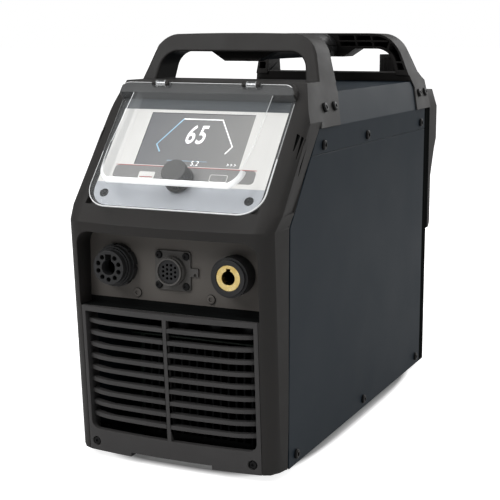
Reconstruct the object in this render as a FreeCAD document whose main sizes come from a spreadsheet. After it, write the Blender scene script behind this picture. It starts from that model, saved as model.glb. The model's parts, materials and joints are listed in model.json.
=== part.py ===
import FreeCAD, Part
import math
import os
import Sketcher

# Plasma cutter unit. Millimetres, +Z up, the floor at z = 0, the middle of the base at x = y = 0.
# The front looks along -Y. Depths are given from the front datum, the plane of the grille's side edges.

doc = FreeCAD.newDocument("PlasmaCutterUnit")
sheet = doc.addObject("Spreadsheet::Sheet", "Sizes")


class Size:
    """A length or an angle that knows its number and the sheet expression that gives it."""

    def __init__(self, value, text):
        self.value = value
        self.text = text

    def __add__(self, other):
        other = as_size(other)
        return Size(self.value + other.value, f"({self.text} + {other.text})")

    def __radd__(self, other):
        return as_size(other) + self

    def __sub__(self, other):
        other = as_size(other)
        return Size(self.value - other.value, f"({self.text} - {other.text})")

    def __rsub__(self, other):
        return as_size(other) - self

    def __mul__(self, other):
        other = as_size(other)
        return Size(self.value * other.value, f"({self.text} * {other.text})")

    def __rmul__(self, other):
        return as_size(other) * self

    def __truediv__(self, other):
        other = as_size(other)
        return Size(self.value / other.value, f"({self.text} / {other.text})")

    def __neg__(self):
        return Size(-self.value, f"(0 - {self.text})")


def as_size(number):
    """A plain number as a Size."""
    if isinstance(number, Size):
        return number
    return Size(float(number), f"({float(number)!r})")


def tangent(angle):
    return Size(math.tan(math.radians(angle.value)), f"tan({angle.text})")


def cosine(angle):
    return Size(math.cos(math.radians(angle.value)), f"cos({angle.text})")


def sine(angle):
    return Size(math.sin(math.radians(angle.value)), f"sin({angle.text})")


def size(name, number):
    """Write one driving dimension into the sheet and give it back as a Size."""
    size.row += 1
    cell = f"B{size.row}"
    sheet.set(f"A{size.row}", name)
    sheet.set(cell, str(number))
    sheet.setAlias(cell, name)
    return Size(float(number), f"Sizes.{name}")


size.row = 0

# Case
case_half = size("case_half_width", 108)
case_bottom = size("case_bottom", 8)
case_top = size("case_top", 351.5)
case_depth = size("case_depth", 425)
front_datum = size("front_datum_behind_centre", -245.5)
skin_front = size("skin_front_edge", 34)
skin = size("skin_thickness", 1.2)
seam_height = size("seam_height", 295.5)
shoulder_height = size("shoulder_height", 319.5)
shoulder_inset = size("shoulder_inset", 10)
seam_lap = size("seam_lap", 16)
gap = size("assembly_gap", 0.3)

# Front housing
plastic = size("moulding_wall", 3)
knee_height = size("knee_height", 235)
knee_step = size("knee_to_slope", 13)
slope_angle = size("slope_angle", 40)
slope_setback = size("slope_setback_at_knee", -8)
front_rake = size("front_rake_angle", 4)
rake_level = size("rake_level", 130)
front_bow = size("front_bow", 5.7)
front_flat = size("front_flat_half_width", 88)
corner_radius = size("front_corner_radius", 22)
ledge_height = size("ledge_height", 362)
saddle_proud = size("saddle_proud", 2)

slope = tangent(slope_angle)
rake = tangent(front_rake)
side_lean = shoulder_inset / (case_top - shoulder_height)


def depth(behind):
    """The y of a point at a depth behind the front datum."""
    return front_datum + behind


def front_at(height):
    """Depth of the raked lower front at the side edges of its flat, at a height."""
    return rake * (rake_level - height)


def frame_at(height):
    """Depth of the sloped frame's face at a height."""
    return slope_setback + slope * (height - knee_height)


def skin_edge_at(height):
    """Depth of the slanting edge where the sheet metal meets the moulding."""
    return skin_front + slope * (height - knee_height)


# Sketch and feature helpers

PLANE_ROLES = {"floor": "XY_Plane", "front": "XZ_Plane", "side": "YZ_Plane"}


def new_body(name):
    return doc.addObject("PartDesign::Body", name)


def new_sketch(body, plane, offset=0.0):
    """A sketch on one of the body's own origin planes, moved along +Z, +Y or +X by offset."""
    role = PLANE_ROLES[plane]
    support = [item for item in body.Origin.OriginFeatures if item.Role == role][0]
    sketch = body.newObject("Sketcher::SketchObject", body.Name + "_sketch")
    sketch.AttachmentSupport = [(support, "")]
    sketch.MapMode = "FlatFace"
    along = as_size(offset)
    if plane == "front":
        along = -along
    sketch.setExpression("AttachmentOffset.Base.z", along.text)
    return sketch


def fix_point(sketch, index, end, x, y):
    """Hold one end of a sketch element at coordinates taken from the sheet."""
    for kind, place in (("DistanceX", x), ("DistanceY", y)):
        place = as_size(place)
        item = sketch.addConstraint(Sketcher.Constraint(kind, -1, 1, index, end, place.value))
        sketch.setExpression(f"Constraints[{item}]", place.text)


def fix_radius(sketch, index, radius):
    radius = as_size(radius)
    item = sketch.addConstraint(Sketcher.Constraint("Radius", index, radius.value))
    sketch.setExpression(f"Constraints[{item}]", radius.text)


def arc_between(start, end, radius):
    """Arc from start to end. A positive radius turns left on the way, a negative one turns right."""
    chord = end - start
    half = chord.Length / 2
    rise = math.sqrt(max(radius * radius - half * half, 0))
    left = FreeCAD.Vector(-chord.y, chord.x, 0).normalize()
    centre = (start + end) * 0.5 + left * math.copysign(rise, radius)
    first, last = (start, end) if radius > 0 else (end, start)
    begin = math.atan2(first.y - centre.y, first.x - centre.x)
    finish = math.atan2(last.y - centre.y, last.x - centre.x)
    circle = Part.Circle(centre, FreeCAD.Vector(0, 0, 1), abs(radius))
    return Part.ArcOfCircle(circle, begin, finish)


def outline(sketch, points):
    """Closed outline. A point is (x, y), or (x, y, radius) where an arc leads on to the next point."""
    spots = [FreeCAD.Vector(as_size(p[0]).value, as_size(p[1]).value, 0) for p in points]
    base = sketch.GeometryCount
    ends = []
    for number, point in enumerate(points):
        start = spots[number]
        end = spots[(number + 1) % len(points)]
        if len(point) == 3:
            radius = as_size(point[2]).value
            sketch.addGeometry(arc_between(start, end, radius), False)
            ends.append((1, 2) if radius > 0 else (2, 1))
        else:
            sketch.addGeometry(Part.LineSegment(start, end), False)
            ends.append((1, 2))
    for number, point in enumerate(points):
        after = (number + 1) % len(points)
        joint = Sketcher.Constraint("Coincident", base + number, ends[number][1], base + after,
                                    ends[after][0])
        sketch.addConstraint(joint)
    for number, point in enumerate(points):
        fix_point(sketch, base + number, ends[number][0], point[0], point[1])
        if len(point) == 3:
            radius = as_size(point[2])
            fix_radius(sketch, base + number, radius if radius.value > 0 else -radius)
    return sketch


def rectangle(sketch, x0, x1, y0, y1):
    return outline(sketch, [(x0, y0), (x1, y0), (x1, y1), (x0, y1)])


def rounded_rectangle(sketch, x0, x1, y0, y1, radius):
    """Rectangle with four rounded corners."""
    return outline(sketch, [
        (x0 + radius, y0), (x1 - radius, y0, radius), (x1, y0 + radius), (x1, y1 - radius, radius),
        (x1 - radius, y1), (x0 + radius, y1, radius), (x0, y1 - radius), (x0, y0 + radius, radius)])


def circle(sketch, x, y, radius):
    number = sketch.GeometryCount
    centre = FreeCAD.Vector(as_size(x).value, as_size(y).value, 0)
    round_line = Part.Circle(centre, FreeCAD.Vector(0, 0, 1), as_size(radius).value)
    sketch.addGeometry(round_line, False)
    fix_point(sketch, number, 3, x, y)
    fix_radius(sketch, number, radius)
    return sketch


def pad(body, sketch, length, backwards=False, both=False):
    """Extrude a sketch. Backwards goes against the sketch's own normal, both goes each way by half."""
    feature = body.newObject("PartDesign::Pad", body.Name + "_pad")
    feature.Profile = sketch
    feature.setExpression("Length", as_size(length).text)
    feature.Reversed = backwards
    if both:
        feature.SideType = "Symmetric"
    sketch.Visibility = False
    return feature


def pocket(body, sketch, length, backwards=False, both=False):
    """Cut a sketch into the body and make sure that it removes something."""
    doc.recompute()
    before = body.Shape.Volume
    feature = body.newObject("PartDesign::Pocket", body.Name + "_pocket")
    feature.Profile = sketch
    feature.setExpression("Length", as_size(length).text)
    feature.Reversed = backwards
    if both:
        feature.SideType = "Symmetric"
    doc.recompute()
    if body.Shape.Volume > before - 0.001:
        raise ValueError(f"{feature.Name} of {body.Name} removes nothing")
    return feature


def loft(body, sections):
    """Ruled solid through sketches stacked along Z."""
    feature = body.newObject("PartDesign::AdditiveLoft", body.Name + "_loft")
    feature.Profile = sections[0]
    feature.Sections = sections[1:]
    feature.Ruled = True
    return feature


def fillet(body, radius, chosen):
    """Round the edges of the body's tip for which chosen(edge) is true."""
    doc.recompute()
    tip = body.Tip
    names = [f"Edge{n + 1}" for n, edge in enumerate(tip.Shape.Edges) if chosen(edge)]
    if not names:
        raise ValueError(f"no edge to round on {body.Name}")
    feature = body.newObject("PartDesign::Fillet", body.Name + "_fillet")
    feature.Base = (tip, names)
    feature.setExpression("Radius", as_size(radius).text)
    doc.recompute()
    return feature


def place(item, x, y, z):
    for axis, value in (("x", x), ("y", y), ("z", z)):
        item.setExpression(f"Placement.Base.{axis}", as_size(value).text)


def block(name, x0, x1, y0, y1, z0, z1):
    """Box between two corners."""
    item = doc.addObject("Part::Box", name)
    item.setExpression("Length", (as_size(x1) - x0).text)
    item.setExpression("Width", (as_size(y1) - y0).text)
    item.setExpression("Height", (as_size(z1) - z0).text)
    place(item, x0, y0, z0)
    return item


TURNS = {"x": (FreeCAD.Vector(0, 1, 0), 90), "y": (FreeCAD.Vector(1, 0, 0), -90), "z": (FreeCAD.Vector(0, 0,
         1), 0)}


def rod(name, axis, x, y, z, radius, length):
    """Cylinder that starts at a point and runs along +X, +Y or +Z."""
    item = doc.addObject("Part::Cylinder", name)
    item.setExpression("Radius", as_size(radius).text)
    item.setExpression("Height", as_size(length).text)
    item.Placement.Rotation = FreeCAD.Rotation(*TURNS[axis])
    place(item, x, y, z)
    return item


def cut(name, base, *tools):
    """Base less all tools."""
    item = doc.addObject("Part::Cut", name)
    item.Base = base
    item.Tool = tools[0] if len(tools) == 1 else fuse(name + "_tools", *tools)
    item.Refine = False
    return item


def fuse(name, *shapes):
    item = doc.addObject("Part::MultiFuse", name)
    item.Shapes = list(shapes)
    return item


def common(name, *shapes):
    item = doc.addObject("Part::MultiCommon", name)
    item.Shapes = list(shapes)
    return item


def group(name, *shapes):
    """Separate solids that share one node, such as like fasteners."""
    item = doc.addObject("Part::Compound", name)
    item.Links = list(shapes)
    return item


nodes = []


def node(item, name):
    """Name a finished piece. Its label is its file's name."""
    item.Label = name
    if item.Label != name:
        raise ValueError(f"another object is called {name}")
    nodes.append(item)
    return item


def root(number):
    return Size(math.sqrt(number.value), f"sqrt({number.text})")


def prism_along_y(name, points, y0, y1):
    """Body with an outline seen from the front, running from y0 to y1."""
    body = new_body(name)
    sketch = outline(new_sketch(body, "front", y1), points)
    pad(body, sketch, as_size(y1) - y0)
    return body


def prism_along_x(name, points, half):
    """Body with an outline seen from the side, running half to each side of the middle plane."""
    body = new_body(name)
    sketch = outline(new_sketch(body, "side"), points)
    pad(body, sketch, as_size(half) * 2, both=True)
    return body


def prism_along_z(name, points, z0, z1):
    """Body with an outline seen from above, running from z0 to z1."""
    body = new_body(name)
    sketch = outline(new_sketch(body, "floor", z0), points)
    pad(body, sketch, as_size(z1) - z0)
    return body


# Front housing, the moulded shell of the front.
# Levels of one ruled loft follow the bowed, raked lower front, the knee and the slope above it.
# The corners turn from the front on a tight arc and run straight to the edge of the sheet metal.

corner_turn = size("front_corner_turn", 66)
slope_wall = size("slope_wall", 10)
far = size("cutter_reach", 60)


def front_level(body, height, front, side, half, bow, inset):
    """One level of the loft, with its wall moved inwards by inset."""
    radius = corner_radius - inset
    if bow is None:
        bend = []
        entry_sine = as_size(0)
        entry_cosine = as_size(1)
    else:
        bend = [(front_flat * front_flat + bow * bow) / (bow * 2)]
        entry_sine = front_flat / bend[0]
        entry_cosine = root(1 - entry_sine * entry_sine)
    across = radius * (sine(corner_turn) - entry_sine)
    back = radius * (entry_cosine - cosine(corner_turn))
    sketch = new_sketch(body, "floor", height)
    return outline(sketch, [
        (-front_flat, depth(front), *bend),
        (front_flat, depth(front), radius),
        (front_flat + across, depth(front + back)),
        (half, depth(side)),
        (-half, depth(side)),
        (-front_flat - across, depth(front + back), radius)])


seat_height = knee_height + knee_step


def front_solid(name, inset, front_wall, slope_inset, bottom, top, over):
    """The front as one ruled loft through its four levels."""
    body = new_body(name)
    half = case_half - inset
    levels = [
        front_level(body, bottom, front_at(bottom) + front_wall, skin_front + over, half, front_bow, inset),
        front_level(body, knee_height, front_at(knee_height) + front_wall, skin_front + over, half, front_bow,
                    inset),
        front_level(body, seat_height, frame_at(seat_height) + slope_inset, skin_edge_at(seat_height) + over,
                    half, None, inset),
        front_level(body, top, frame_at(top) + slope_inset, skin_edge_at(top) + over, half, None, inset)]
    loft(body, levels)
    return body


shell_outside = front_solid("shell_outside", as_size(0), as_size(0), as_size(0), case_bottom, ledge_height,
                            as_size(0))
shell_inside = front_solid("shell_inside", plastic, plastic, slope_wall / cosine(slope_angle),
                           case_bottom + plastic, ledge_height - plastic, as_size(1))

# Connector recess: a box with round upper corners that ends on the connector plate.
recess_half = size("recess_half_width", 93)
recess_low = size("recess_bottom", 154)
recess_high = size("recess_top", 226)
recess_round = size("recess_corner_radius", 14)
recess_depth = size("recess_depth", 20)
recess_walls = block("recess_walls", -recess_half - plastic, recess_half + plastic, depth(-far),
                     depth(recess_depth),
                     recess_low - plastic, recess_high + plastic)
recess_hollow = prism_along_y("recess_hollow", [
    (-recess_half, recess_low), (recess_half, recess_low),
    (recess_half, recess_high - recess_round, recess_round), (recess_half - recess_round, recess_high),
    (recess_round - recess_half, recess_high, recess_round), (-recess_half, recess_high - recess_round)],
    depth(-far), depth(recess_depth + far))

# Grille bay: the insert closes it from the recess down to the foot of the housing.
bay_half = size("grille_half_width", 91.5)
grille_top = size("grille_top", 153.8)
grille_rear = size("grille_step_depth", 2)
bay_front = block("bay_front", -bay_half - gap, bay_half + gap, depth(-far), depth(grille_rear),
                  case_bottom - far, grille_top + gap)
bay_rear = block("bay_rear", -bay_half - gap, bay_half + gap, depth(grille_rear), depth(skin_front + far),
                 case_bottom - far, recess_low - plastic)

# Sides above the shoulder lean inwards with the sheet metal.
lean_top = size("lean_cut_top", 430)
edge_low = case_half + saddle_proud


def edge_at(height):
    """Half-width of the leaning outside of the moulding at a height."""
    return edge_low - side_lean * (height - shoulder_height)


def lean_side(name, side):
    outer = edge_low + far
    points = [(edge_low, shoulder_height), (outer, shoulder_height), (outer, lean_top), (edge_at(lean_top),
              lean_top)]
    if side < 0:
        points = [(-x, z) for x, z in reversed(points)]
    return prism_along_y(name, points, depth(-far), depth(case_depth + far))


# Saddle: the part of a moulding that lies over the skin and carries an arch.
foot_rear = size("foot_rear", 156.5)
arch_rear = size("arch_rear_at_skin", 174)
arch_front = size("arch_front_at_ledge", 133)


def saddle(name, profile):
    """Inverted trough over the skin, cut to a profile seen from the side."""
    section = prism_along_y(name + "_section", [
        (edge_low, shoulder_height), (edge_at(ledge_height), ledge_height),
        (-edge_at(ledge_height), ledge_height), (-edge_low, shoulder_height),
        (-case_half - gap, shoulder_height), (-case_half + shoulder_inset - gap, case_top + gap),
        (case_half - shoulder_inset + gap, case_top + gap), (case_half + gap, shoulder_height)],
        depth(-far), depth(case_depth + far + far))
    side = prism_along_x(name + "_side", profile, case_half + far)
    return common(name, section, side)


front_saddle = saddle("front_saddle", [
    (depth(skin_edge_at(shoulder_height)), shoulder_height), (depth(foot_rear), shoulder_height),
    (depth(arch_rear), case_top), (depth(arch_rear), ledge_height),
    (depth(skin_edge_at(ledge_height)), ledge_height)])

# Arch: a bail over the case, with a boss under the middle of its bar for the grip.
arch_top = size("arch_top", 407)
arch_crown = size("arch_crown_radius", 2000)
arch_under = size("arch_underside", 389.6)
arch_corner = size("arch_corner_radius", 26.5)
window_half = size("arch_window_half_width", 76.6)
window_lean = size("arch_window_lean", 0.18)
window_corner = size("arch_window_radius", 18)
boss_under = size("boss_underside", 380)
boss_half = size("boss_half_width", 18)
boss_flare = size("boss_flare_half_width", 35)
boss_behind = size("boss_behind_arch_face", 22)
arch_lean = size("front_arch_lean", 0.38)
arch_back_lean = size("front_arch_back_lean", 0.2)
arch_sink = size("arch_sunk_in_saddle", 3)
arch_base = ledge_height - arch_sink


def arch_ring(name, base, inset, bossed):
    """The arch seen from the front, its wall moved inwards by inset, long enough for any arch depth."""
    length = root(1 + side_lean * side_lean)
    top = arch_top - inset
    radius = arch_corner - inset
    reach = radius * (length - side_lean)
    corner = edge_at(top) - inset * length
    rise = reach / length
    window_length = root(1 + window_lean * window_lean)
    under = arch_under + inset
    inner = window_half + inset * window_length
    bend = window_corner + inset
    step = bend * (window_length - window_lean)
    drop = step / window_length
    outer = [
        (corner + side_lean * (top - base), base),
        (corner + side_lean * rise, top - rise, radius),
        (corner - reach, top, arch_crown)]
    window = [
        (inner - step, under),
        (inner + window_lean * drop, under - drop),
        (inner + window_lean * (under - base), base)]
    points = list(outer)
    points += [(-outer[2][0], top, radius), (-outer[1][0], top - rise), (-outer[0][0], base)]
    points += [(-window[2][0], base), (-window[1][0], under - drop, -bend), (-window[0][0], under)]
    if bossed:
        points += [(-boss_flare, under), (-boss_half, boss_under), (boss_half, boss_under), (boss_flare,
                   under)]
    points += [(window[0][0], under, -bend), window[1], window[2]]
    return prism_along_y(name, points, depth(-far), depth(case_depth + far + far))


def front_arch_face(height):
    return arch_front + arch_lean * (height - ledge_height)


def front_arch_back(height):
    return arch_rear + arch_back_lean * (height - case_top)


# The arches are open on the sides that face each other, with a web along the bar and cross ribs,
# as moulded handles are.
rib = size("rib_thickness", 2)
arch_wall = size("arch_wall", 3)
cavity_base = ledge_height + arch_wall
rib_near = size("near_rib_from_middle", 38)
rib_far = size("far_rib_from_middle", 58)
rib_leg = size("leg_rib_height", 374)
rib_corner = size("corner_rib_setback", 8)


def arch_cavity(name, profile):
    """The room inside an arch between its ribs."""
    ring = arch_ring(name + "_ring", cavity_base, arch_wall, False)
    room = common(name + "_room", ring, prism_along_x(name + "_side", profile, case_half + far))
    near = depth(-far)
    away = depth(case_depth + far + far)
    middle = (arch_top + arch_under) / 2
    ribs = [
        block(name + "_core", -boss_half, boss_half, near, away, boss_under, arch_top),
        block(name + "_web", -window_half, window_half, near, away, middle - rib / 2, middle + rib / 2)]
    for side in (-1, 1):
        for number, where in enumerate((rib_near, rib_far)):
            x = where * side
            ribs.append(block(f"{name}_rib_{number}", x - rib / 2, x + rib / 2, near, away, arch_under,
                              arch_top))
        x0, x1 = sorted((window_half * side, edge_low * side), key=lambda item: item.value)
        ribs.append(block(f"{name}_leg_{side + 1}", x0, x1, near, away, rib_leg - rib / 2, rib_leg + rib / 2))
        fan = [
            ((window_half - rib_corner) * side, arch_under - rib_corner),
            ((window_half - rib_corner + rib) * side, arch_under - rib_corner),
            ((window_half + rib_corner + rib) * side, arch_top),
            ((window_half + rib_corner) * side, arch_top)]
        if side < 0:
            fan.reverse()
        ribs.append(prism_along_y(f"{name}_fan_{side + 1}", fan, near, away))
    return cut(name, room, *ribs)




def front_arch_part(name, bossed, behind):
    """The front arch from a distance behind its face to its back."""
    side = prism_along_x(name + "_side", [
        (depth(front_arch_face(arch_base) + behind), arch_base), (depth(front_arch_back(arch_base)),
                                                                  arch_base),
        (depth(front_arch_back(lean_top)), lean_top), (depth(front_arch_face(lean_top) + behind), lean_top)],
        case_half + far)
    return common(name, arch_ring(name + "_ring", arch_base, as_size(0), bossed), side)


front_arch = fuse("front_arch", front_arch_part("front_bail", False, as_size(0)),
                  front_arch_part("front_boss", True, boss_behind))
front_cavity = arch_cavity("front_cavity", [
    (depth(front_arch_face(arch_base) + arch_wall), arch_base), (depth(arch_rear + far), arch_base),
    (depth(arch_rear + far), lean_top), (depth(front_arch_face(lean_top) + arch_wall), lean_top)])

# Sloped frame. Pieces on it are drawn flat and then laid on the slope: x across, y up the slope,
# z outwards from the frame's face, all from the knee.


def on_slope(item):
    """Lay a piece that is drawn flat onto the sloped frame."""
    item.Placement.Rotation = FreeCAD.Rotation(FreeCAD.Vector(1, 0, 0), 90 - slope_angle.value)
    place(item, 0, depth(slope_setback), knee_height)
    return item


cover_half = size("cover_half_width", 91.5)
cover_low = size("cover_bottom_on_slope", 18.5)
cover_round = size("cover_corner_radius", 24)
cover_sheet = size("cover_thickness", 3)
cover_play = size("cover_play", 0.5)
rail_low = size("rail_bottom_on_slope", 145.8)
rail_high = size("rail_top_on_slope", 172)
rail_proud = size("rail_above_frame", 7.6)
rail_corner = size("rail_corner_cut", 9)
rail_root = size("rail_root", 9)
seat_depth = cover_sheet + gap + 0.1
panel_half = size("panel_half_width", 88)
panel_low = size("panel_bottom_on_slope", 21)
panel_round = size("panel_low_corner_radius", 20)
panel_sheet = size("panel_thickness", 3)
window_side = size("panel_window_half_width", 76)
window_low = size("panel_window_bottom", 30)
window_high = size("panel_window_top", 136)

cover_seat = on_slope(prism_along_z("cover_seat", [
    (-cover_half - cover_play, rail_low), (-cover_half - cover_play, cover_low + cover_round,
                                           cover_round + cover_play),
    (-cover_half + cover_round, cover_low - cover_play), (cover_half - cover_round, cover_low - cover_play,
                                                         cover_round + cover_play),
    (cover_half + cover_play, cover_low + cover_round), (cover_half + cover_play, rail_low)], -seat_depth,
    far))
panel_seat = on_slope(prism_along_z("panel_seat", [
    (-panel_half - gap, panel_low - gap), (panel_half + gap, panel_low - gap),
    (panel_half + gap, rail_low), (-panel_half - gap, rail_low)], -seat_depth - panel_sheet, as_size(0)))
panel_window = on_slope(prism_along_z("panel_window", [
    (-window_side, window_low), (window_side, window_low), (window_side, window_high),
    (-window_side, window_high)], -far / 2, as_size(0)))
rail_whole = on_slope(prism_along_z("rail_whole", [
    (-recess_half, rail_low), (recess_half, rail_low), (recess_half, rail_high - rail_corner * 2),
    (recess_half - rail_corner, rail_high - rail_corner), (rail_corner - recess_half,
                                                           rail_high - rail_corner),
    (-recess_half, rail_high - rail_corner * 2)], -rail_root, rail_proud))
above_ledge = block("above_ledge", -case_half - far, case_half + far, depth(-far), depth(case_depth),
                    ledge_height, lean_top)
rail = cut("rail", rail_whole, above_ledge)

# Hinge: on each side two ears of the rail hold a pin that the cover's barrel turns on.
hinge_at = size("hinge_on_slope", 154.5)
hinge_rise = size("hinge_above_rail", 3.3)
hinge_out = size("hinge_from_middle", 48)
hinge_radius = size("hinge_barrel_radius", 3)
hinge_barrel = size("hinge_barrel_length", 10)
ear_width = size("hinge_ear_width", 4)
pin_radius = size("hinge_pin_radius", 1.5)
running = size("running_clearance", 0.05)
hinge_above = rail_proud + hinge_rise


def hinge_ears():
    shapes = []
    for side in (-1, 1):
        for end in (-1, 1):
            middle = hinge_out * side + (hinge_barrel / 2 + gap + ear_width / 2) * end
            x0 = middle - ear_width / 2
            eye = rod("ear_eye", "x", x0, hinge_at, hinge_above, hinge_radius, ear_width)
            foot = block("ear_foot", x0, x0 + ear_width, hinge_at - hinge_radius, hinge_at + hinge_radius,
                         rail_proud - hinge_rise, hinge_above)
            shapes += [eye, foot]
    return on_slope(fuse("hinge_ears", *shapes))


def hinge_rods(name, radius, over):
    """One rod on the hinge line at each hinge, past the ears by over."""
    reach = hinge_barrel / 2 + gap + ear_width + over
    shapes = [rod(name + "_rod", "x", hinge_out * side - reach, hinge_at, hinge_above, radius, reach * 2)
              for side in (-1, 1)]
    return on_slope(group(name, *shapes))


# Wing vents: three slots each side that taper to a point, cut square to the turned corner of the wing.
vent_x = size("vent_from_middle", 106)
vent_depth = size("vent_depth", 68)
vent_turn = size("vent_turn", 62)
vent_cut = size("vent_cut_depth", 8)
vent_tip = size("vent_tip_width", 0.5)
vents = [
    (size("vent_1_tip", -14.2), size("vent_1_tip_height", 302.4), size("vent_1_near", -4.2),
     size("vent_1_away", -2),
     size("vent_1_top", 317.3)),
    (size("vent_2_tip", -14.6), size("vent_2_tip_height", 294.8), size("vent_2_near", -0.9),
     size("vent_2_away", 1.3),
     size("vent_2_top", 315)),
    (size("vent_3_tip", -12.6), size("vent_3_tip_height", 280.5), size("vent_3_near", 2.5),
     size("vent_3_away", 7.3),
     size("vent_3_top", 312))]
vent_drop = size("vent_top_drop", 0.75)


def vent_cutters():
    """Slots drawn flat, along the wing and upwards, then turned to face the corner and moved to it."""
    cutters = []
    for side in (-1, 1):
        for number, (tip, tip_height, near, away, top) in enumerate(vents):
            points = [(tip, tip_height), (tip + vent_tip, tip_height), (away,
                                                                        top - (away - near) * vent_drop),
                      (near, top)]
            if side < 0:
                points = [(-s, z) for s, z in reversed(points)]
            flat = group(f"vent_{number}_{side + 1}", prism_along_y("vent", points, -far / 2, vent_cut))
            flat.Placement.Rotation = FreeCAD.Rotation(FreeCAD.Vector(0, 0, 1), vent_turn.value * side)
            place(flat, vent_x * side, depth(vent_depth), 0)
            cutters.append(flat)
    return cutters


lean_wall = plastic * root(1 + side_lean * side_lean)
void_limit = prism_along_y("void_limit", [
    (edge_low - lean_wall, 0), (edge_low - lean_wall, shoulder_height), (edge_at(lean_top) - lean_wall,
                                                                         lean_top),
    (lean_wall - edge_at(lean_top), lean_top), (lean_wall - edge_low, shoulder_height), (lean_wall - edge_low,
        0)],
    depth(-far), depth(case_depth))
shell_void = cut("shell_void", common("shell_room", shell_inside, void_limit), recess_walls)
housing_whole = fuse("housing_whole", cut("shell_open", shell_outside, shell_void), rail, front_saddle,
                     front_arch,
                     hinge_ears())
# Front grille: an insert with two columns of openings between level slats, screwed on along its foot.
grille_sheet = size("grille_sheet", 6)
grille_lip = size("grille_lip_depth", 26)
cheek_depth = size("grille_cheek_depth", 22)
slat_deep = size("slat_depth", 5.5)
slat_recess = size("slat_recess", 0.4)
slat_turn_from = size("slat_turn_from_middle", 62)
slat_turn = size("slat_turn_radius", 60)
slat_pitch = size("slat_pitch", 11.78)
slat = size("slat_thickness", 3.9)
slat_first = size("first_slat_height", 138.7)
slat_count = 9
column_inner = size("column_inner_side", 2.1)
column_outer = size("column_outer_side", 87.5)
opening_high = size("opening_top", 148.6)
opening_low = size("opening_bottom", 30.5)
opening_round = size("opening_corner_radius", 8)
notch_half = size("foot_notch_half_width", 43)
notch_height = size("foot_notch_height", 4)

grille_room = front_solid("grille_room", plastic, grille_sheet, slope_wall / cosine(slope_angle),
                          case_bottom + plastic, ledge_height - plastic, as_size(1))
grille_block = block("grille_block", -bay_half, bay_half, depth(-far), depth(grille_lip), case_bottom,
                     grille_top)
grille_step = block("grille_step", -case_half, case_half, depth(grille_rear - gap), depth(grille_lip + far),
                    recess_low - plastic - gap, grille_top + far)
grille_plate = common("grille_plate", cut("grille_shell", shell_outside, grille_room, grille_step),
                      grille_block)


def grille_openings():
    cutters = []
    near = depth(-far)
    away = depth(grille_lip + gap)
    for side in (-1, 1):
        points = [
            (column_inner, opening_low), (column_outer - opening_round, opening_low, opening_round),
            (column_outer, opening_low + opening_round), (column_outer, opening_high),
            (column_inner, opening_high)]
        if side < 0:
            points = [
                (-column_inner, opening_low), (-column_inner, opening_high), (-column_outer, opening_high),
                (-column_outer, opening_low + opening_round, opening_round),
                (opening_round - column_outer, opening_low)]
        cutters.append(prism_along_y("grille_column", points, near, away))
    cutters.append(block("foot_notch", -notch_half, notch_half, near, away, case_bottom - 1,
                         case_bottom + notch_height))
    return cutters


def slats():
    """Level slats across both columns, each following the bowed front and turning back to the cheeks."""
    bend = (front_flat * front_flat + front_bow * front_bow) / (front_bow * 2)
    sine_from = slat_turn_from / bend
    cosine_from = root(1 - sine_from * sine_from)
    risen = bend - bend * cosine_from
    reach = column_outer + 1
    sine_to = (reach - slat_turn_from) / slat_turn + sine_from
    turned = slat_turn * (cosine_from - root(1 - sine_to * sine_to))
    bars = []
    for number in range(slat_count):
        middle = slat_first - slat_pitch * number
        start = front_at(middle) - front_bow + slat_recess + risen
        bars.append(prism_along_z(f"slat_{number + 1}", [
            (-reach, depth(start + turned), slat_turn), (-slat_turn_from, depth(start), bend),
            (slat_turn_from, depth(start), slat_turn), (reach, depth(start + turned)),
            (reach, depth(start + turned + slat_deep)), (slat_turn_from, depth(start + slat_deep)),
            (-slat_turn_from, depth(start + slat_deep)), (-reach, depth(start + turned + slat_deep))],
            middle - slat / 2, middle + slat / 2))
    return bars


grille_screw_x = size("grille_screw_from_middle", 83)
grille_screw_z = size("grille_screw_height", 17.5)
grille_screw_y = size("grille_screw_seat_depth", 10)
screw_hole = size("screw_hole_radius", 2.05)
screw_well = size("screw_well_radius", 4.6)


def grille_screw_wells():
    wells = []
    for side in (-1, 1):
        x = grille_screw_x * side
        wells.append(rod("grille_well", "y", x, depth(-far), grille_screw_z, screw_well,
                         far + grille_screw_y))
        wells.append(rod("grille_hole", "y", x, depth(-far), grille_screw_z, screw_hole, far * 2))
    return wells


grille_bosses = [rod("grille_boss", "y", grille_screw_x * side, depth(front_at(grille_screw_z)),
                     grille_screw_z,
                     screw_well + plastic, grille_lip - front_at(grille_screw_z)) for side in (-1, 1)]
cheeks = [block("grille_cheek", bay_half * side - (bay_half - column_outer) * (side + 1) / 2,
                bay_half * side + (bay_half - column_outer) * (1 - side) / 2,
                depth(-far), depth(cheek_depth), opening_low - plastic, opening_high) for side in (-1, 1)]
grille_solid = common("grille_solid", fuse("grille_fused", grille_plate, *grille_bosses, *cheeks),
                      shell_outside)
grille_open = cut("grille_open", grille_solid, group("grille_holes", *grille_openings()))
node(cut("grille_cut", fuse("grille_barred", grille_open, *slats()), *grille_screw_wells()), "front_grille")

# Screws. A master is drawn once, head up along +Z with its seat at z = 0, and laid at each place.
SCREW_TURNS = {
    "up": FreeCAD.Rotation(),
    "front": FreeCAD.Rotation(FreeCAD.Vector(1, 0, 0), 90),
    "back": FreeCAD.Rotation(FreeCAD.Vector(1, 0, 0), -90),
    "right": FreeCAD.Rotation(FreeCAD.Vector(0, 1, 0), 90),
    "left": FreeCAD.Rotation(FreeCAD.Vector(0, 1, 0), -90)}
lean_angle = math.degrees(math.atan(side_lean.value))
SCREW_TURNS["right_lean"] = FreeCAD.Rotation(FreeCAD.Vector(0, 1, 0), 90 - lean_angle)
SCREW_TURNS["left_lean"] = FreeCAD.Rotation(FreeCAD.Vector(0, 1, 0), lean_angle - 90)


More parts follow.
